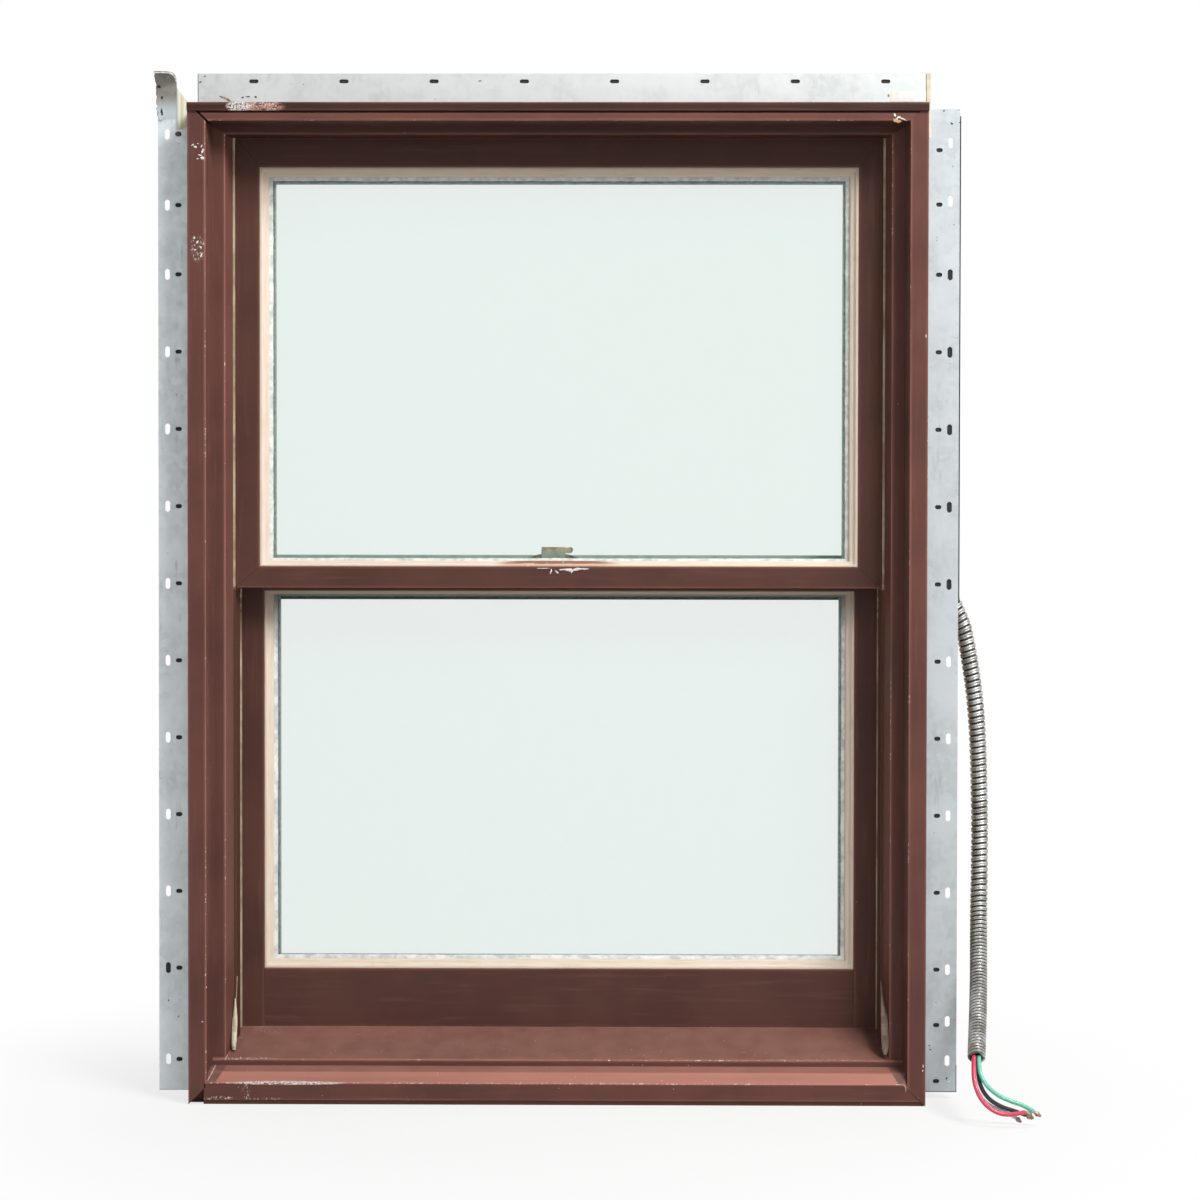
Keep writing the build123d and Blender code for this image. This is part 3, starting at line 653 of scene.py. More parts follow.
def wound_steel(name):
    """Galvanised steel strip of the conduit: bright crests, and grime with painted shade in the grooves
    between them and inside the open end, by the depth that each point was given."""
    f = Finish(name)
    groove = f.value("groove")
    cloud = f.noise(60.0, 5.0, 0.6)
    tone = f.blend(f.between(cloud, 0.35, 0.68), shade(192, 192, 190), shade(142, 138, 132))
    # Grime with painted shade in the grooves and inside the open end
    dirt = f.between(f.sum("ADD", groove, f.times(f.noise(220.0), 0.3)), 0.4, 0.85)
    tone = f.blend(f.times(dirt, 0.95), tone, shade(40, 34, 30))
    return f.surface(tone, f.between(cloud, 0.3, 0.7, 0.34, 0.5), 0.75, f.noise(700.0), 0.1)


def insulation(name, colour, dull):
    """Glossy wire insulation with scuffs and plaster dust."""
    f = Finish(name)
    scuff = f.noise(120.0, 5.0, 0.65)
    tone = f.blend(f.between(scuff, 0.56, 0.7, 0.0, 0.6), colour, dull)
    f.shader.inputs["Coat Weight"].default_value = 0.2
    return f.surface(tone, f.between(scuff, 0.4, 0.7, 0.28, 0.5), bump=scuff, strength=0.1)


# Properties

def colour_property(name, description, value):
    return FloatVectorProperty(name=name, description=description, subtype="COLOR", size=4,
                               min=0.0, max=1.0, default=value)


class WindowFinishes(bpy.types.PropertyGroup):
    """Colours of the window's finishes."""
    frame_enamel: colour_property("Frame enamel", "Brown of the frame's front", shade(96, 61, 54))
    sash_enamel: colour_property("Sash enamel", "Brown of the two sashes", shade(84, 54, 47))
    dust: colour_property("Dust", "Chalky brown on ledges", shade(134, 97, 87))
    rubbed: colour_property("Rubbed edge", "Faded salmon where the enamel is worn", shade(178, 120, 105))
    glass: colour_property("Glass", "Green that the panes leave", shade(40, 168, 134))


class WindowSizes(bpy.types.PropertyGroup):
    """Small sizes of the window's dressed pieces, in metres."""
    edge: FloatProperty(name="Edge rounding", description="Reach of the rounded sheet edges",
                        default=0.0011, min=0.0002, max=0.003, unit="LENGTH")
    mitre_gap: FloatProperty(name="Open mitre", description="Gap at the open upper left mitre",
                             default=0.0034, min=0.0, max=0.004, unit="LENGTH")
    ridge_pitch: FloatProperty(name="Ridge pitch", description="Distance between the conduit's ridges",
                               default=0.0079, min=0.004, max=0.014, unit="LENGTH")
    ridge_height: FloatProperty(name="Ridge height", description="Depth of the conduit's grooves",
                                default=0.0019, min=0.0003, max=0.003, unit="LENGTH")


def upright(sign, front=FRONT, edge=HALF):
    """Places an upright bar: u runs inwards from the frame's or sash's edge, v is the depth."""
    def place(u, v, s):
        return sign * (edge - u), front + v, s
    return place


def level(base, direction, front=FRONT):
    """Places a level bar: u is the depth, and v is measured up or down from a height."""
    def place(u, v, s):
        return s, front + u, base + direction * v
    return place


# Operators

# Where the photograph was taken from, in metres, and its yaw, pitch and roll, in degrees
CAMERA_PLACE = (0.0755, -3.080, 0.69385)
CAMERA_TURN = (-0.40, 0.936, 0.087)
CAMERA_LENS = 70.86


class WINDOW_OT_camera(bpy.types.Operator):
    """Sets the camera where the photograph was taken from"""
    bl_idname = "window.camera"
    bl_label = "Camera"

    def execute(self, context):
        data = bpy.data.cameras.new("photo_camera")
        data.lens = CAMERA_LENS
        data.sensor_width = 36.0
        camera = bpy.data.objects.new("photo_camera", data)
        context.scene.collection.objects.link(camera)
        yaw, pitch, roll = np.radians(CAMERA_TURN)
        level_share = math.cos(pitch)
        ahead = Vector((math.sin(yaw) * level_share, math.cos(yaw) * level_share, -math.sin(pitch)))
        right = Vector((math.cos(yaw), -math.sin(yaw), 0))
        up = right.cross(ahead)
        turned = right * math.cos(roll) + up * math.sin(roll)
        lifted = up * math.cos(roll) - right * math.sin(roll)
        turn = Matrix((turned, lifted, -ahead)).transposed().to_4x4()
        camera.matrix_world = Matrix.Translation(CAMERA_PLACE) @ turn
        context.scene.camera = camera
        return {"FINISHED"}


# Points that control the conduit's line, in metres, its outer and inner radius and, of its end,
# the length over which its turns lie closer, in millimetres
CONDUIT_ROUTE = [
    (0.50577, 0.008, 0.65895), (0.52393, 0.008, 0.62331), (0.533, 0.008, 0.592), (0.546, 0.008, 0.505),
    (0.55, 0.008, 0.41), (0.551, 0.006, 0.32), (0.546, -0.018, 0.238), (0.5385, -0.07, 0.155),
    (0.53, -0.118, 0.107), (0.5235, -0.152, 0.078)]
CONDUIT_RADIUS = 11.2
CONDUIT_BORE = 8.6
CLOSE_LENGTH = 260
CONDUIT_UP = (0.0, 1.0, 0.12)

# Each wire's controlling points and length, in metres, the turn and length of its copper end, the
# latter in millimetres, and its colour, clean and dull
WIRES = {
    "green": ([(0.52642, -0.15424, 0.07997), (0.5234, -0.17005, 0.06648), (0.531, -0.1798, 0.0495),
               (0.5465, -0.182, 0.037), (0.563, -0.184, 0.0305), (0.578, -0.1845, 0.026),
               (0.5895, -0.1855, 0.0185)],
              0.108, (0, 0, 0), 10.8, shade(104, 196, 168), shade(158, 214, 196)),
    "red": ([(0.52058, -0.15359, 0.08052), (0.51756, -0.1694, 0.06703), (0.517, -0.183, 0.05),
             (0.524, -0.191, 0.033), (0.5385, -0.195, 0.0205), (0.5575, -0.197, 0.0163),
             (0.5765, -0.198, 0.0212)],
            0.120, (0.1, 0, -1.4), 14.0, shade(214, 62, 92), shade(226, 112, 130)),
    "black": ([(0.52642, -0.15041, 0.07548), (0.5234, -0.16622, 0.06199), (0.5255, -0.174, 0.046),
               (0.535, -0.177, 0.032), (0.55, -0.1785, 0.023), (0.566, -0.179, 0.0182),
               (0.5805, -0.1785, 0.013)],
              0.105, (0, 0, -0.25), 10.6, shade(24, 22, 30), shade(60, 58, 68)),
    "white": ([(0.52058, -0.14976, 0.07603), (0.51756, -0.16557, 0.06255), (0.519, -0.1726, 0.046),
               (0.5275, -0.175, 0.03), (0.541, -0.1745, 0.0205), (0.556, -0.172, 0.016),
               (0.569, -0.173, 0.0085)],
              0.1035, (0.1, 0, -0.35), 9.6, shade(222, 214, 222), shade(190, 180, 184)),
}
WIRE_RADIUS = 2.7


class WINDOW_OT_conduit(bpy.types.Operator):
    """Winds the flexible conduit: a tube whose radius dips in a groove that climbs once a turn"""
    bl_idname = "window.conduit"
    bl_label = "Conduit"

    def execute(self, context):
        sizes = context.scene.window_sizes
        pitch, height = sizes.ridge_pitch / MM, sizes.ridge_height / MM
        line = spline_points("conduit_line", CONDUIT_ROUTE)
        points, run = evenly(line, pitch / 16)
        columns = 40
        angle = np.linspace(0, 1, columns, endpoint=False)[None]
        squeezed = np.clip((run - run[-1] + CLOSE_LENGTH) / 110, 0, 1)
        rate = 1 / (pitch * (1 - 0.42 * squeezed ** 2 * (3 - 2 * squeezed)))
        turn = np.mod(np.cumsum(rate * np.gradient(run))[:, None] - angle, 1.0)
        dip = np.exp(-((turn - 0.5) / 0.16) ** 2) + 0.45 * np.exp(-((turn - 0.05) / 0.09) ** 2)
        outer = tube_points(points, CONDUIT_RADIUS - height * dip, CONDUIT_UP, columns)
        wall = tube_points(points[-6:][::-1], CONDUIT_BORE, CONDUIT_UP, columns)
        grid = np.concatenate([outer, wall])
        # The wall inside the open end counts as a deep groove, so it takes the painted shade
        groove = np.concatenate([dip.ravel(), np.full(wall.shape[0] * columns, 1.6)])
        piece = add_piece("conduit_jacket", grid, lattice_faces(*grid.shape[:2]),
                          wound_steel("wound_galvanised_strip"),
                          ["conduit"], {"groove": groove}, sharp=60)
        return {"FINISHED"}


class WINDOW_OT_wires(bpy.types.Operator):
    """Lays the four wires and their bare copper ends"""
    bl_idname = "window.wires"
    bl_label = "Wires"

    def execute(self, context):
        copper = plain("bare_copper", shade(168, 140, 122), shade(104, 80, 66), 0.42, 260.0, 0.6)
        for colour, (route, length, bend, tip_length, clean, dull) in WIRES.items():
            points = spline_points(colour + "_line", route)
            end = points[-1]
            ahead = end - points[-2]
            ahead /= np.linalg.norm(ahead)
            data = smooth_curve(colour + "_wire_jacket", route, 12)
            data.bevel_depth = WIRE_RADIUS * MM
            data.bevel_resolution = 6
            data.use_fill_caps = True
            wire = bpy.data.objects.new(colour + "_wire_jacket", data)
            context.scene.collection.objects.link(wire)
            data.materials.append(insulation(colour + "_insulation", clean, dull))
            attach(wire, "root")
            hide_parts(colour + "_wire")
            t = np.linspace(0, 1, 20)
            turned = ahead + np.array(bend) * np.clip(t[:, None] * 3, 0, 1)
            turned /= np.linalg.norm(turned, axis=1)[:, None]
            tip_line = end[None] + np.cumsum(turned * tip_length / 20, axis=0) - 0.5 * turned[:1]
            radius = 1.8 + 1.1 * np.sin(np.pi * np.clip(t * 1.15, 0, 1)) ** 2
            rounded = ((t - 0.8) / 0.2).clip(0, 1)
            radius = np.maximum(radius * np.sqrt(1 - rounded ** 2), 0.3)
            twist = np.linspace(0, 2 * np.pi, 24, endpoint=False)[None]
            strands = 1 + 0.13 * np.cos(4 * twist + 9 * t[:, None])
            grid = tube_points(tip_line, radius[:, None] * strands, (0.0, -0.6, 0.8), 24)
            tip = add_piece(colour + "_wire_tip", grid, lattice_faces(20, 24), copper,
                            ["wire_tips"])
        return {"FINISHED"}


class WINDOW_OT_frame(bpy.types.Operator):
    """Folds the enamelled frame: two jambs, head, sill and drip cap, mitred at the corners"""
    bl_idname = "window.frame"
    bl_label = "Frame"

    def execute(self, context):
        sizes = context.scene.window_sizes
        colours = context.scene.window_finishes
        r = sizes.edge / MM
        gap = sizes.mitre_gap / MM
        colour, dusty, rubbed = tuple(colours.frame_enamel), tuple(colours.dust), tuple(colours.rubbed)
        jamb = enamel("jamb_enamel", colour, dusty, rubbed, 0.5, 0.6, "Z",
                      [((-0.457, 1.09), (0.011, 0.02), 0.56)])
        # The head takes a painted shade in the recess behind its front face
        head = enamel("head_enamel", scaled(colour, 1.15), dusty, rubbed, 0.4, 0.4, "X", recess=0.55)
        band = [((-0.404, 1.2695), (0.018, 0.009), 0.47), ((-0.372, 1.2695), (0.026, 0.009), 0.53)]
        cap = enamel("cap_enamel", scaled(colour, 0.36), dusty, rubbed, 0.3, 0.3, "X", band,
                     [((-0.372, 1.269), (0.03, 0.009))])
        nose = [((-0.345, 0.0278), (0.085, 0.0026), 0.475), ((-0.05, 0.0282), (0.45, 0.0012), 0.58),
                ((-0.43, 0.008), (0.022, 0.0036), 0.55), ((-0.396, 0.017), (0.006, 0.014), 0.58),
                ((-0.372, 0.0075), (0.03, 0.002), 0.56), ((-0.385, 0.076), (0.03, 0.005), 0.6),
                ((-0.395, 0.0525), (0.04, 0.0014), 0.55), ((0.33, 0.0525), (0.08, 0.001), 0.58)]
        sill = enamel("sill_enamel", colour, dusty, rubbed, 0.75, 1.4, "X", nose, fade_end=0.437)
        table = [(0, 69, 0, TOP, r, 0.2, 0, 0), (0, 0, 0, TOP, r, 0.7, 0, 0),
                 (23, 0, 23, TOP - 23, r, 1, 0, 0), (26.2, 35, 23, TOP - 24, 0.3, 0, 0, 0),
                 (42.2, 35, 23, TOP - 34, r, 1, 0.1, 0), (47, 69, 23, TOP - 33, 0.3, 0, 0, 0),
                 (45, 69, 23, TOP - 33, 0.2, 0, 0, 0), (40.5, 37, 23, TOP - 33, 0.3, 0, 0, 0),
                 (24.4, 37, 23, TOP - 25, 0.3, 0, 0, 0), (21.2, 2, 22, TOP - 22, 0.3, 0, 0, 0),
                 (2, 2, 3, TOP - 3, 0.3, 0, 0, 0), (2, 69, 3, TOP - 3, 0.2, 0, 0, 0)]
        for side, sign in (("left", -1), ("right", 1)):
            moulding(side + "_jamb_sheet", table, upright(sign), jamb,
                     [side + "_jamb_cladding"], 60)

        def across(depth, drop, inset, reach, rub=0.0, fade=0.0, open_left=0.0):
            return (depth, drop, -HALF + inset + open_left, HALF - inset - 0.3, reach, rub, fade, 0)

        table = [across(69, 0, 0, 0.2), across(40, 0, 0, 0.2), across(40, 1.5, 1.5, 0.2),
                 across(0, 1.5, 1.5, 0.2), across(0, 9.5, 9.5, 0.3, 0, 0, gap),
                 across(4, 9.5, 9.5, 0.3, 0, 0, gap), across(4, 12.8, 12.8, 0.3, 0, 0, gap),
                 across(0, 12.8, 12.8, r, 0.5, 0, gap), across(0, 23, 23, 1.4 * r, 0.9, 0, gap),
                 across(35, 24, 26.2, 0.3, 0, 0, 0.4), across(35, 34, 42.2, r, 0.6),
                 across(69, 33, 47, 0.3), across(69, 31, 47, 0.2), across(37, 32, 42, 0.2),
                 across(37, 22, 24, 0.2, 0, 0, 1), across(2, 21, 21, 0.2, 0, 0, gap),
                 across(2, 14, 14, 0.2, 0, 0, gap), across(6, 14, 14, 0.2, 0, 0, gap),
                 across(6, 7.5, 7.5, 0.2, 0, 0, gap), across(2, 7.5, 7.5, 0.2, 0, 0, gap),
                 across(2, 3.5, 3.5, 0.2), across(42, 3.5, 3.5, 0.2), across(42, 2, 2, 0.2),
                 across(69, 2, 2, 0.2)]
        moulding("head_sheet", table, level(TOP, -1), head, ["head_cladding"], 60)
        table = [(depth, drop, -HALF, HALF, reach, rub, 0, 0) for depth, drop, reach, rub in
                 ((-3, 0, r, 0.8), (-3, 10.8, r, 0.4), (-0.2, 10.8, 0.2, 0), (0, 1.5, 0.2, 0),
                  (40, 1.5, 0.2, 0), (40, 0, 0.2, 0))]
        moulding("drip_cap_sheet", table, level(TOP, -1), cap, ["head_drip_cap"], 60)

        def low(depth, height, left, right, reach, rub=0.0, fade=0.0):
            return (depth, height, -HALF + left, HALF - right, reach, rub, fade, 0)

        table = [low(110, 0, 0, 0, 0.2), low(3, 0, 19, 1, 0.4), low(3, 6, 19.5, 6.8, 0.3),
                 low(0, 6, 19.5, 6.8, r, 0.7), low(0, 23, 20.4, 24.4, 0.2),
                 low(0, 28, 20.6, 25.4, r, 1, 1), low(12, 40, 23, 23, 0.9, 0.5, 0.45),
                 low(30, 44, 23, 23, 0.4), low(30, 52, 23, 23, 1.6, 1, 0.15), low(110, 79, 23, 23, 0.2),
                 low(110, 77, 23, 23, 0.2), low(32, 50.6, 23, 23, 0.2), low(32, 42.4, 23, 23, 0.2),
                 low(12.8, 38.2, 23, 23, 0.2), low(2, 27.2, 23, 23, 0.2), low(2, 8, 20, 8, 0.2),
                 low(5, 8, 20, 8, 0.2), low(5, 2, 19, 3, 0.2), low(110, 2, 1, 1, 0.2)]
        moulding("sill_sheet", table, level(0, 1), sill, ["sill_cladding"], 90)
        return {"FINISHED"}


# Width of a stile's front face and of the lip that stands behind the glass, in millimetres
SASH_FACE = 31.2
SASH_LIP = 12


class WINDOW_OT_sashes(bpy.types.Operator):
    """Joins each sash from two stiles and two rails, mitred on the upper one and butted on the lower"""
    bl_idname = "window.sashes"
    bl_label = "Sashes"

    def execute(self, context):
        sizes = context.scene.window_sizes
        colours = context.scene.window_finishes
        r = sizes.edge / MM
        rear = SASH_FACE + SASH_LIP
        colour, dusty, rubbed = tuple(colours.sash_enamel), tuple(colours.dust), tuple(colours.rubbed)
        # The sashes take a painted shade under the head and under the meeting rail
        coats = {along: enamel("sash_enamel_" + along.lower(), colour, dusty, rubbed, 0.45, 0.15, along,
                               painted_shade=0.36) for along in "XZ"}
        for sash, mitred in (("upper", 1), ("lower", 0)):
            (x0, y0, z0), (_, _, z1) = box_mm(sash + "_sash_left_stile")
            low_rail, top_rail = [np.ptp(box_mm(f"{sash}_sash_{rail}_rail"), axis=0)[2] - SASH_LIP
                                  for rail in ("bottom", "top")]
            width = SASH_FACE

            def stile(u, v, reach, rub=0.0, inside=0.0):
                share = min(u, width) / width * mitred
                lip = max(0.0, u - width) * mitred
                return (u, v, z0 + share * low_rail + lip, z1 - share * top_rail - lip,
                        reach, rub, 0, inside)

            table = [stile(0, 0, r, 0.35), stile(width, 0, r, 0.5), stile(width, 28, 0.3),
                     stile(rear, 28, 0.5, 0, 1), stile(rear, 36, 4, 0, 1), stile(0, 36, r, 0),
                     stile(0, 22.1, 0.2), stile(2.8, 22.1, 0.2), stile(2.8, 13.9, 0.2),
                     stile(0, 13.9, 0.2)]
            for side, sign in (("left", -1), ("right", 1)):
                moulding(f"{sash}_{side}_stile", table, upright(sign, y0, -x0), coats["Z"],
                         [f"{sash}_sash_{side}_stile"], 40)
            rails = (("top", top_rail, z1, -1), ("bottom", low_rail, z0, 1))
            for rail, height, base, direction in rails:
                def bar(v, w, inset, reach, rub=0.0, inside=0.0):
                    at = inset + 0.3
                    return (v, w, x0 + at, -x0 - at, reach, rub, 0, inside)

                start = 0 if mitred else width
                lip = height + (8 if mitred and rail == "bottom" else SASH_LIP)
                table = [bar(0, 0, start, r, 0.6), bar(0, height, width, r, 0.5),
                         bar(28, height, width, 0.3), bar(28, lip, rear, 0.5, 0, 1),
                         bar(36, lip, rear, 4, 0, 1), bar(36, 0, start, r)]
                moulding(f"{sash}_{rail}_rail", table, level(base, direction, y0), coats["X"],
                         [f"{sash}_sash_{rail}_rail"], 50)
        return {"FINISHED"}


class WINDOW_OT_glazing(bpy.types.Operator):
    """Fits the cream beads, the smeared sealant, the spacers and the glass"""
    bl_idname = "window.glazing"
    bl_label = "Glazing"

    def execute(self, context):
        cream = bead_paint("cream_bead_paint")
        # Sealant and spacer take a painted shade under the head and under the meeting rail
        putty = plain("smeared_sealant", shade(232, 231, 226), shade(188, 192, 190), 0.6, 90.0, 0.0, 0.5,
                      painted_shade=0.85)
        grey = plain("spacer_metal", shade(150, 158, 152), shade(112, 122, 118), 0.4, 200.0, 0.3,
                     painted_shade=0.8)
        glass = glass_pane("window_glass", tuple(context.scene.window_finishes.glass))
        for number, sash in enumerate(("upper", "lower")):
            lowest, highest = box_mm(sash + "_glazing_bead")
            x_half, low, high = highest[0], lowest[2], highest[2]
            front = lowest[1] - 1.5
            table = [(0, 1.5, 0, 0, 0.5, 0), (3.2, 1.2, 0, 0, 1.2, 0), (6, 4.6, 0, 0, 0.8, 0),
                     (10.6, 6.2, 0, 0, 1, 0), (11.4, 8, 0, 0, 0.5, 0), (11.4, 12, 0, 0, 0.2, 0),
                     (0, 12, 0, 0, 0.2, 0)]
            foot, crown = (0.66, 1.0) if sash == "upper" else (1.0, 0.42)
            ring(sash + "_bead", table, x_half, low, high, front, cream,
                 [sash + "_glazing_bead"], foot=foot, crown=crown)
            table = [(9.5, 9.5, 0, 0, 0.3, 0), (11.6, 9.6, 0, 0, 0.8, 0), (15.6, 11.2, 0, 0, 0.8, 1),
                     (16.4, 11.98, 0, 0, 0.2, 1), (9.5, 11.98, 0, 0, 0.2, 0)]
            ring(sash + "_sealant", table, x_half, low, high, front, putty,
                 [sash + "_glass_sealant"], 0.7, 3 + number, 260, foot, crown)
            table = [(2, 15, 0, 0, 0.2, 0), (19, 15, 0, 0, 0.4, 0), (19, 25, 0, 0, 0.4, 0),
                     (2, 25, 0, 0, 0.2, 0)]
            ring(sash + "_spacer", table, x_half, low, high, front, grey,
                 [sash + "_glass_spacer"], foot=0.83 * foot, crown=crown)
            dress([sash + "_glass"], glass)
        rail_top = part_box("lower_sash_top_rail")[1][2] / MM
        outline = rectangle(-377, 377, rail_top, rail_top + 9.3)
        lip = plain("rail_lip_grey", shade(190, 200, 195), shade(172, 182, 178), 0.6)
        extruded("check_rail_lip", outline, 143.6, 145.6, 0.5, lip)
        splinters = plain("torn_white_paint", shade(238, 236, 232), shade(206, 200, 196), 0.7, 200.0)
        rows = [(-9.8, 680.6, 2.8, 1.1, 75), (-2.2, 680, 3, 1.1, -55), (6.5, 683.2, 5, 1.3, 8),
                (14, 682.6, 6, 1.7, -6), (23, 683.4, 6.5, 1.5, 5), (31.5, 684, 6.5, 1.3, 3),
                (18, 680.8, 2.6, 0.9, 60), (-20, 684.8, 7, 0.6, 2)]
        flakes("torn_splinters", at_depth(RAIL_FACE, rows), splinters, 8, 0.6)
        return {"FINISHED"}


class WINDOW_OT_lock(bpy.types.Operator):
    """Shapes the sash lock with its stepped ears, housing, lever and keeper"""
    bl_idname = "window.lock"
    bl_label = "Sash lock"

    def execute(self, context):
        (x0, y0, z0), (x1, y1, z1) = box_mm("sash_lock")
        middle, housing = (x0 + x1) / 2, 16  # and half the housing's width
        grey = plain("lock_housing_grey", shade(188, 180, 176), shade(156, 148, 144), 0.42, 120.0, 0.4)
        tan = plain("lock_lever_tan", shade(214, 184, 158), shade(166, 130, 106), 0.42, 150.0, 0.3)
        brown = plain("lock_ear_bronze", shade(158, 132, 112), shade(78, 58, 46), 0.45, 240.0, 0.4,
                      0.4, (0.4, 0.6))
        left = [(x0, z0)]
        for k in range(6):
            x = x0 + (middle - 19 - x0) * k / 6
            left += [(x, z0 + 4.0 + 1.0 * k), (x + 1.6, z0 + 5.0 + 1.0 * k)]
        left += [(middle - 18, z0 + 10.2), (middle - housing, z0 + 10.2), (middle - housing, z0 + 10.4)]
        outline = left + [(2 * middle - x, z) for x, z in left[::-1]]
        extruded("lock_ears", outline, y0 - FRONT + 0.8, y1 - FRONT - 0.4, 0.6, brown,
                 ["sash_lock"])
        outline = rectangle(middle - housing, middle + housing, z0 + 0.2, z1)
        extruded("lock_housing", outline, y0 - FRONT, y1 - FRONT, 0.6, grey, ["sash_lock"])
        (a0, b0, c0), (a1, b1, c1) = box_mm("sash_lock_lever")
        half = middle + housing
        outline = [(a0, c1 - 6), (a0 + 0.6, c1 - 0.8), (a0 + 1.6, c1), (half - 1, c1 - 0.2),
                   (half + 1.5, c1 - 0.9), (a1 - 3, c1), (a1 - 0.6, c1 - 1.4), (a1, c1 - 4.5),
                   (a1 - 2.5, c0 + 0.4), (half + 2, c0), (half + 0.2, c0 + 1.2), (half + 0.1, c1 - 6)]
        extruded("lock_lever", outline, b0 - FRONT, b1 - FRONT, 0.9, tan,
                 ["sash_lock_lever"])
        (x0, y0, z0), (x1, y1, z1) = box_mm("sash_lock_keeper")
        outline = rectangle(x0, x1, z0 - 4, z0 - 1)
        extruded("lock_keeper", outline, y0 - FRONT, y1 - FRONT, 0.5, tan,
                 ["sash_lock_keeper"])
        return {"FINISHED"}


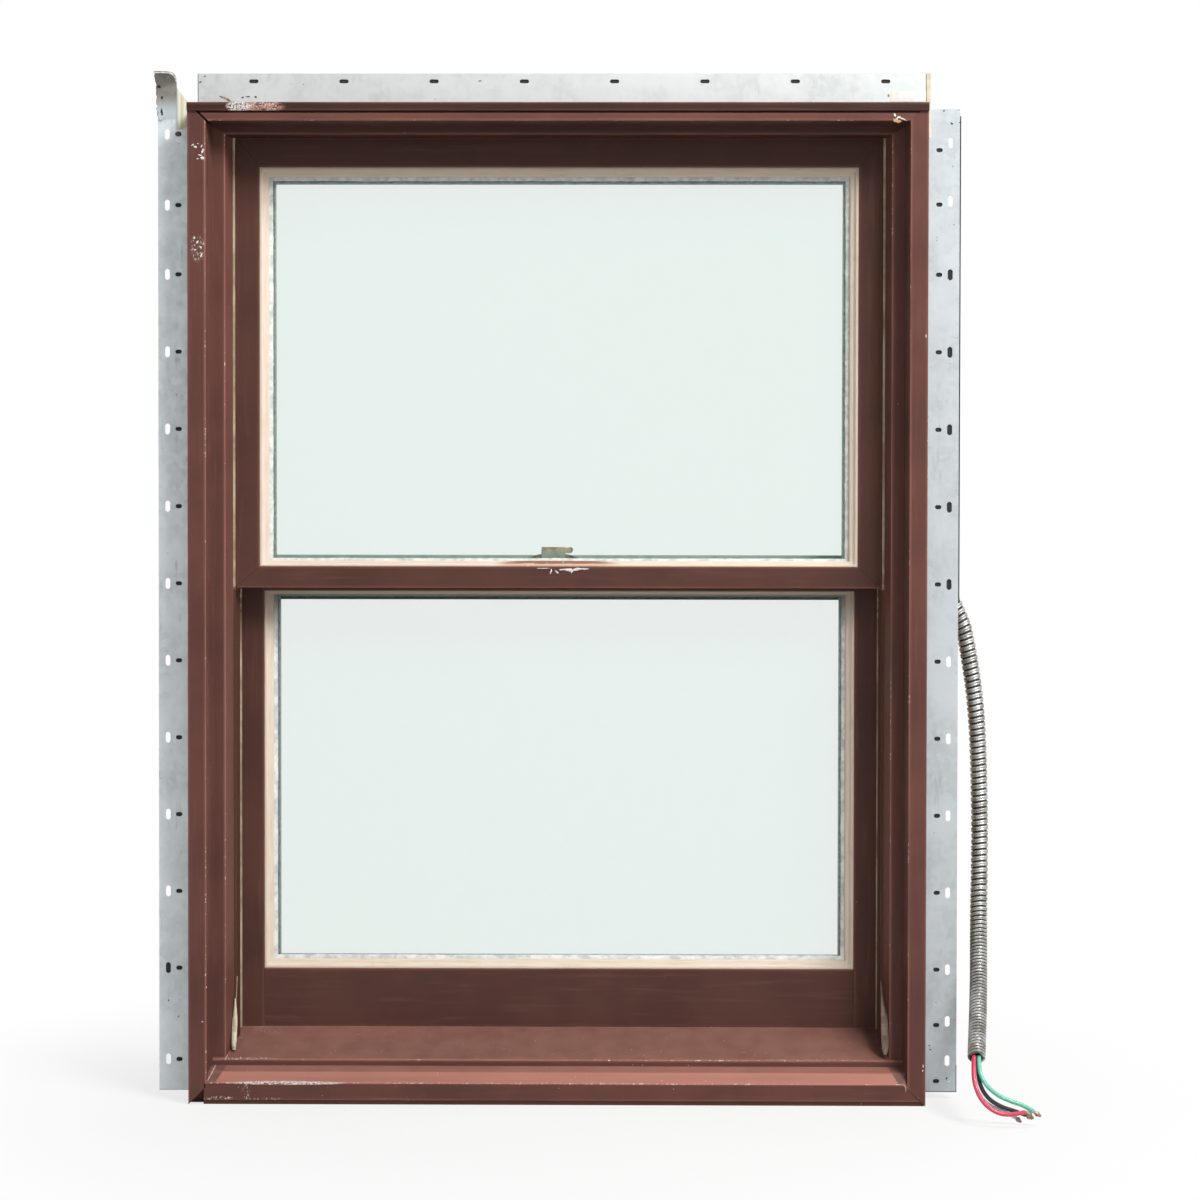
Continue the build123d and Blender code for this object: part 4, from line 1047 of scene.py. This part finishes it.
class WINDOW_OT_fins(bpy.types.Operator):
    """Finishes the nailing fins and adds painted-shade sheets behind their slots, their torn end, screws
    and marks
    """
    bl_idname = "window.fins"
    bl_label = "Nailing fins"

    def execute(self, context):
        steel = {"left": zinc("left_zinc", shade(192, 200, 204), shade(220, 227, 230), 0.5),
                 "right": zinc("right_zinc", shade(170, 176, 179), shade(194, 200, 203), 0.4),
                 "head": zinc("head_zinc", shade(186, 190, 190), shade(208, 212, 211), 0.3)}
        for side, finish in steel.items():
            dress([side + "_fin"], finish)
        cream = plain("cream_tape", shade(226, 219, 194), shade(196, 184, 152), 0.6, 40.0)
        black = plain("black_sealing_tape", shade(22, 21, 21), shade(36, 34, 33), 0.75, 80.0)
        dress(["left_fin_gusset"], gusset_tape("ivory_web"))
        dress(["right_corner_strip"], cream)
        dress(["right_fin_edge_strip"], black)
        cut_metal = plain("dark_cut_edge", shade(92, 90, 88), shade(52, 46, 42), 0.6, 120.0)
        # Black sheets just behind the fins' slots: a painted shade that makes the slots read dark
        for name, x0, x1, z0, z1 in (("left_inner", -HALF - 25, -HALF - 14, 30, TOP - 10),
                                     ("right_inner", HALF + 14, HALF + 25, 12, TOP - 8),
                                     ("right_outer", HALF + 28, HALF + 39, 612, TOP - 190),
                                     ("head", -HALF + 20, HALF - 10, TOP + 31, TOP + 40),
                                     ("left_outer", -HALF - 39, -HALF - 28, 156, 179)):
            extruded(name + "_sealing_tape", rectangle(x0, x1, z0, z1), 46.2, 47.0, 0.2, black)
        for name, x0, x1, z0, z1 in (("right_foot", HALF + 1, HALF + 45.6, 8.9, 9.9),
                                     ("right_side", HALF + 44.7, HALF + 45.7, 9, 44),
                                     ("left_foot", -HALF - 45.6, -HALF - 1, 8.9, 9.5),
                                     ("head_left", -HALF + 5.8, -HALF + 6.7, TOP, TOP + 45)):
            extruded(name + "_edge", rectangle(x0, x1, z0, z1), 44.8, 46.4, 0.1, cut_metal)
        rows = [(-406.3, 1289.7, 2, 0.8, 20), (-399.5, 1290.8, 3.2, 0.6, 5),
                (-389.5, 1290.3, 2, 0.9, -10), (-455.2, 1317, 1.2, 0.8, 0),
                (-461, 1309.5, 2.4, 0.7, 30), (494.8, 1273, 1.1, 1, 0), (505, 1256.5, 1.5, 1.5, 0),
                (515, 1258, 0.8, 0.7, 0), (480.6, 69, 1.5, 0.7, -40), (481.8, 63.8, 1.5, 0.7, -30),
                (503, 26.5, 1.5, 1, 50), (-503.6, 125, 1.4, 0.8, 0), (-490.4, 104, 1.2, 0.8, 30),
                (-101, 1311, 1.6, 0.9, 0)]
        others = [(-510, 43.5, 1289.4, 1.7, 1.7, 0), (-513.8, 43.3, 1303.4, 3.2, 1.2, -4)]
        flakes("nail_marks", at_depth(FIN_FACE, rows) + others, black, 21, 0.2)
        rust = plain("rust_and_glue", shade(186, 158, 112), shade(132, 96, 62), 0.7, 200.0)
        rows = [(-426.2, 1287.6, 7.5, 1.2, -32), (424, 1292.6, 2.2, 1.2, 70),
                (-433.5, 1290.5, 3, 0.9, -15)]
        others = [(429, -0.1, 1251.6, 4.2, 3, -10)]
        flakes("glue_marks", at_depth(FIN_FACE, rows) + others, rust, 5, 0.4)
        paint = plain("white_paint_marks", shade(240, 236, 230), shade(216, 208, 200), 0.7, 200.0)
        scrapes = [(-463, 1221, 1.5, 1, 30), (-459.6, 1218.6, 2.2, 1.3, -50),
                   (-456.2, 1222.8, 0.8, 0.6, 0), (-451.6, 1219.5, 1.5, 0.9, 60),
                   (-450.2, 1213.4, 2.6, 1.5, 75), (-453.6, 1208.2, 1.9, 1, -15),
                   (-450.6, 1204.6, 3, 1.6, 20), (-456.4, 1203.6, 1.1, 0.7, 0),
                   (-461, 1103.6, 1.5, 0.9, 70), (-457, 1098.2, 2.3, 1.1, 40),
                   (-453, 1092, 1.6, 1, -60), (-459.6, 1088.4, 1.3, 0.8, 15),
                   (-452, 1081.5, 2.4, 1.2, 65), (-449.6, 1095.8, 1, 0.7, 20),
                   (-446.6, 150, 0.9, 0.7, 90), (-447.8, 166, 1.6, 0.5, 80), (-451.8, 106, 1, 0.8, 0),
                   (426.7, 1258.9, 1.9, 1.5, 70), (435.2, 1254.8, 5, 1, -24),
                   (430.5, 1255.6, 3, 0.9, 30), (466.4, 46, 1.4, 0.6, 85), (466.8, 52, 1.8, 0.5, 80),
                   (467, 980, 2.4, 0.5, 85)]
        flakes("paint_scrapes", at_depth(FRAME_FACE, scrapes), paint, 12, 0.2)
        rows = [(-489.2, 1230.7, 1.5, 1.3, 0), (505.6, 22, 1.6, 1.2, 20)]
        flakes("fin_paint_dots", at_depth(FIN_FACE, rows), paint, 3, 0.2)
        angle = np.linspace(0, 2 * np.pi, 18, endpoint=False)
        outline = np.stack([-489.4 + 3.3 * np.cos(angle), 1242.9 + 3.3 * np.sin(angle)], 1)
        extruded("fin_screw", outline, 42.8, 45.0, 0.8, cut_metal)
        outline = [(-466, TOP), (-448, TOP), (-448, TOP + 1.6), (-452, TOP + 2.6), (-466, TOP + 1.2)]
        extruded("top_sealant_strip", outline, 22, 44, 0.4, rust)
        tape = plain("pale_tape", shade(236, 237, 232), shade(222, 222, 214), 0.7, 60.0)
        outline = [(426, 1284.5), (473.5, 1284.5), (473.5, 1298.5), (428, 1298)]
        extruded("head_fin_tape", outline, 44.7, 45.0, 0.1, tape)
        # The torn end is darker and greyer than the fin: a painted shade for its tilted curl
        torn = zinc("shaded_torn_zinc", shade(112, 108, 98), shade(146, 142, 132), 0.6, shade(192, 200, 205))
        self.torn_end(torn, black)
        return {"FINISHED"}

    def torn_end(self, finish, dark):
        """The left fin's bent end: a strip that is straight and then curls forwards by an arc, with
        a ragged outer edge, a pale rim that is a painted highlight, a hanging tab and a rounded inner
        corner. Its foot thins into the fin."""
        lowest, highest = box_mm("left_fin_flap")
        straight, radius, turn = 40.0, 19.0, math.radians(78)
        length = straight + radius * turn
        run = np.linspace(0, length, 60)
        bend = np.clip(run - straight, 0, None) / radius
        phases = np.random.default_rng(5).uniform(0, 6.28, 3)
        ragged = (np.array([[0.7], [0.5], [0.9]])
                  * np.sin(run / np.array([[2.9], [1.3], [7.0]]) + phases[:, None])).sum(0)
        left = lowest[0] + 1.6 + ragged * 0.6 + 4.6 * (run < 12)
        left += 3.5 * np.exp(-((run - 16) / 2.2) ** 2)
        over = np.clip((run - (length - 15)) / 15, 0, 1)
        right = highest[0] - 11 * (1 - np.sqrt(np.clip(1 - over ** 2, 0, 1)))
        across = np.linspace(0, 1, 16)[None]
        x = left[:, None] + across * (right - left)[:, None]
        foot = 1.1 * (1 - np.clip(run / 16, 0, 1)) ** 2
        sheets = []
        for thickness in (0.0, 1.2):
            reach = radius - 1.2 + thickness
            depth = 43.8 + thickness - reach * (1 - np.cos(bend)) + foot * (thickness == 0)
            height = lowest[2] + np.minimum(run, straight) + reach * np.sin(bend)
            y = np.broadcast_to(FRONT + depth[:, None], x.shape)
            z = np.broadcast_to(height[:, None], x.shape)
            sheets.append(np.stack([x, y, z], -1))
        rows, columns = x.shape
        front_faces = np.array(lattice_faces(rows, columns, closed_across=False, capped=False))
        offset = rows * columns
        grid = np.arange(offset).reshape(rows, columns)
        loop = np.concatenate([grid[0, :-1], grid[:-1, -1], grid[-1, :0:-1], grid[:0:-1, 0]])
        following = np.roll(loop, -1)
        rim = np.stack([loop, following, following + offset, loop + offset], 1)
        faces = front_faces.tolist() + (front_faces[:, ::-1] + offset).tolist() + rim.tolist()
        add_piece("torn_fin_end", np.stack(sheets), faces, finish, ["left_fin_flap"])
        # A pale strand along the curled edge: a painted highlight
        pale = plain("pale_highlight_rim", shade(226, 226, 222), shade(196, 196, 190), 0.5, 90.0)
        edge = np.concatenate([sheets[0][44:-1, -1], sheets[0][-1, :0:-1]])
        edge = edge - np.array([0.9, FRONT - 0.4, 0.9])
        strand("torn_highlight_rim", edge, 1.0, pale, 0.3)
        tab_face = 42.9
        outline = [(-517, 1277.5), (-516.4, 1270), (-513.8, 1261.5), (-510.5, 1259.8), (-508, 1262),
                   (-506.6, 1270), (-507.2, 1277.5)]
        extruded("torn_tab", outline, tab_face, 44.2, 0.4, finish)
        rows = at_depth(tab_face, [(-510.2, 1270.6, 4.8, 1.4, 86), (-515.4, 1268, 3, 0.5, 80)])
        flakes("tab_slot", rows, dark, 4, 0.15)


class WINDOW_OT_woodwork(bpy.types.Operator):
    """Gives the frame's wood, stops, liners and connector their finishes"""
    bl_idname = "window.woodwork"
    bl_label = "Woodwork"

    def execute(self, context):
        uprights, levels = pine("pine_upright", "Z"), pine("pine_level", "X")
        casting = plain("zinc_casting", shade(178, 178, 176), shade(128, 128, 126), 0.45, 90.0, 0.7)
        dress(["left_jamb", "right_jamb", "left_stop", "right_stop"], uprights)
        dress(["head_jamb", "head_stop", "sill"], levels)
        dress(["left_jamb_liner", "right_jamb_liner"], liner_vinyl("liner_vinyl"))
        dress(["conduit_connector"], casting)
        ivory = plain("torn_liner", shade(214, 206, 182), shade(160, 148, 120), 0.55, 90.0)
        dim = plain("dirty_liner", shade(134, 116, 102), shade(98, 78, 68), 0.6, 90.0)
        leaf("left_liner_leaf",
             [(124, -421.4, -419.8, 66), (100, -423.2, -417.4, 63), (90, -423.4, -416.6, 58),
              (70, -422.6, -416.4, 50), (60.5, -421.6, -416.8, 47)], ivory)
        leaf("right_liner_leaf",
             [(150, 419.6, 421, 66), (120, 418.4, 423.6, 50), (104, 417.4, 426, 38),
              (80, 417.4, 427, 34), (66, 418.4, 426.6, 33.4), (59.5, 420.4, 424.6, 33.2)],
             dim)
        strand("left_liner_strand", [(-418.6, 70, 152), (-419.2, 68, 130), (-420.4, 66, 112)], 0.55,
               ivory)
        chalk = plain("old_caulk", shade(236, 214, 200), shade(200, 160, 140), 0.7, 160.0)
        strand("left_caulk",
               [(-445.4, 0.6, 30.4), (-444, 4, 33.6), (-441.6, 9, 38.2), (-440.4, 18, 42.2),
                (-439.4, 29, 44.8)], 0.6, chalk)
        strand("left_step_caulk", [(-428.0, 30, 50.5), (-426.6, 33, 54.4), (-425.4, 38, 56.2)], 0.45,
               chalk)
        strand("right_nose_edge",
               [(432, -0.1, 28.1), (440, -0.1, 28), (443.6, -0.1, 26.6), (444.9, -0.1, 23),
                (445, -0.1, 19)], 0.45, chalk)
        return {"FINISHED"}


class WINDOW_OT_stage(bpy.types.Operator):
    """Lays the pale floor, the white surroundings and the soft lamps"""
    bl_idname = "window.stage"
    bl_label = "Stage"

    def execute(self, context):
        mesh = bpy.data.meshes.new("studio_floor")
        mesh.from_pydata([(-6, -5, 0), (6, -5, 0), (6, 9, 0), (-6, 9, 0)], [], [(0, 1, 2, 3)])
        floor = bpy.data.objects.new("studio_floor", mesh)
        context.scene.collection.objects.link(floor)
        f = Finish("studio_floor_paint")
        f.put(f.shader.inputs["Base Color"], shade(225, 225, 223))
        f.put(f.shader.inputs["Roughness"], 0.9)
        f.shader.inputs["Specular IOR Level"].default_value = 0.0
        glow = f.add("ShaderNodeEmission")
        glow.inputs["Strength"].default_value = 1.0
        x, y = f.axis("X"), f.axis("Y")
        away = f.sum("SQRT", f.sum("ADD", f.times(x, x), f.times(y, y)))
        share = f.times(f.seen(), f.between(away, 0.3, 1.0, 0.7, 1.0))
        f.mix_out(share, f.shader, glow, "Material Output")
        mesh.materials.append(f.material)
        world = bpy.data.worlds.new("studio_surroundings")
        context.scene.world = world
        w = Wiring(world)
        lit, white = w.nodes["Background"], w.add("ShaderNodeBackground")
        lit.inputs["Color"].default_value = (0.96, 0.98, 1.0, 1.0)
        lit.inputs["Strength"].default_value = 0.25
        white.inputs["Color"].default_value = (1, 1, 1, 1)
        w.mix_out(w.seen(), lit, white, "World Output")
        lamps = [("key_lamp", (2.0, -2.2, 3.75), 1.7, 208.0), ("fill_lamp", (0.3, -4.4, 1.4), 2.5, 10.0),
                 ("back_lamp", (0.5, 3.0, 2.6), 3.0, 30.0)]
        for name, place, size, power in lamps:
            data = bpy.data.lights.new(name, "AREA")
            data.shape = "DISK"
            data.size = size
            data.energy = power
            lamp = bpy.data.objects.new(name, data)
            lamp.location = place
            toward = Vector((0.0, 0.0, 0.65)) - Vector(place)
            lamp.rotation_euler = toward.to_track_quat("-Z", "Y").to_euler()
            context.scene.collection.objects.link(lamp)
        context.scene.view_settings.view_transform = "Standard"
        return {"FINISHED"}


OPERATORS = (WINDOW_OT_camera, WINDOW_OT_conduit, WINDOW_OT_wires, WINDOW_OT_frame, WINDOW_OT_sashes,
             WINDOW_OT_glazing, WINDOW_OT_lock, WINDOW_OT_fins, WINDOW_OT_woodwork, WINDOW_OT_stage)


class WINDOW_PT_panel(bpy.types.Panel):
    """Lists the window's sizes, colours and pieces"""
    bl_idname = "WINDOW_PT_panel"
    bl_label = "Double-hung window"
    bl_space_type = "VIEW_3D"
    bl_region_type = "UI"
    bl_category = "Window"

    def draw(self, context):
        layout = self.layout
        for group in (context.scene.window_sizes, context.scene.window_finishes):
            for name in group.__annotations__:
                layout.prop(group, name)
        for operator in OPERATORS:
            layout.operator(operator.bl_idname)


CLASSES = (WindowSizes, WindowFinishes, *OPERATORS, WINDOW_PT_panel)


def register():
    for cls in CLASSES:
        bpy.utils.register_class(cls)
    bpy.types.Scene.window_sizes = PointerProperty(type=WindowSizes)
    bpy.types.Scene.window_finishes = PointerProperty(type=WindowFinishes)


def unregister():
    del bpy.types.Scene.window_finishes
    del bpy.types.Scene.window_sizes
    for cls in reversed(CLASSES):
        bpy.utils.unregister_class(cls)


def main():
    register()
    for operator in OPERATORS:
        group, name = operator.bl_idname.split(".")
        getattr(getattr(bpy.ops, group), name)()


if __name__ == "__main__":
    main()
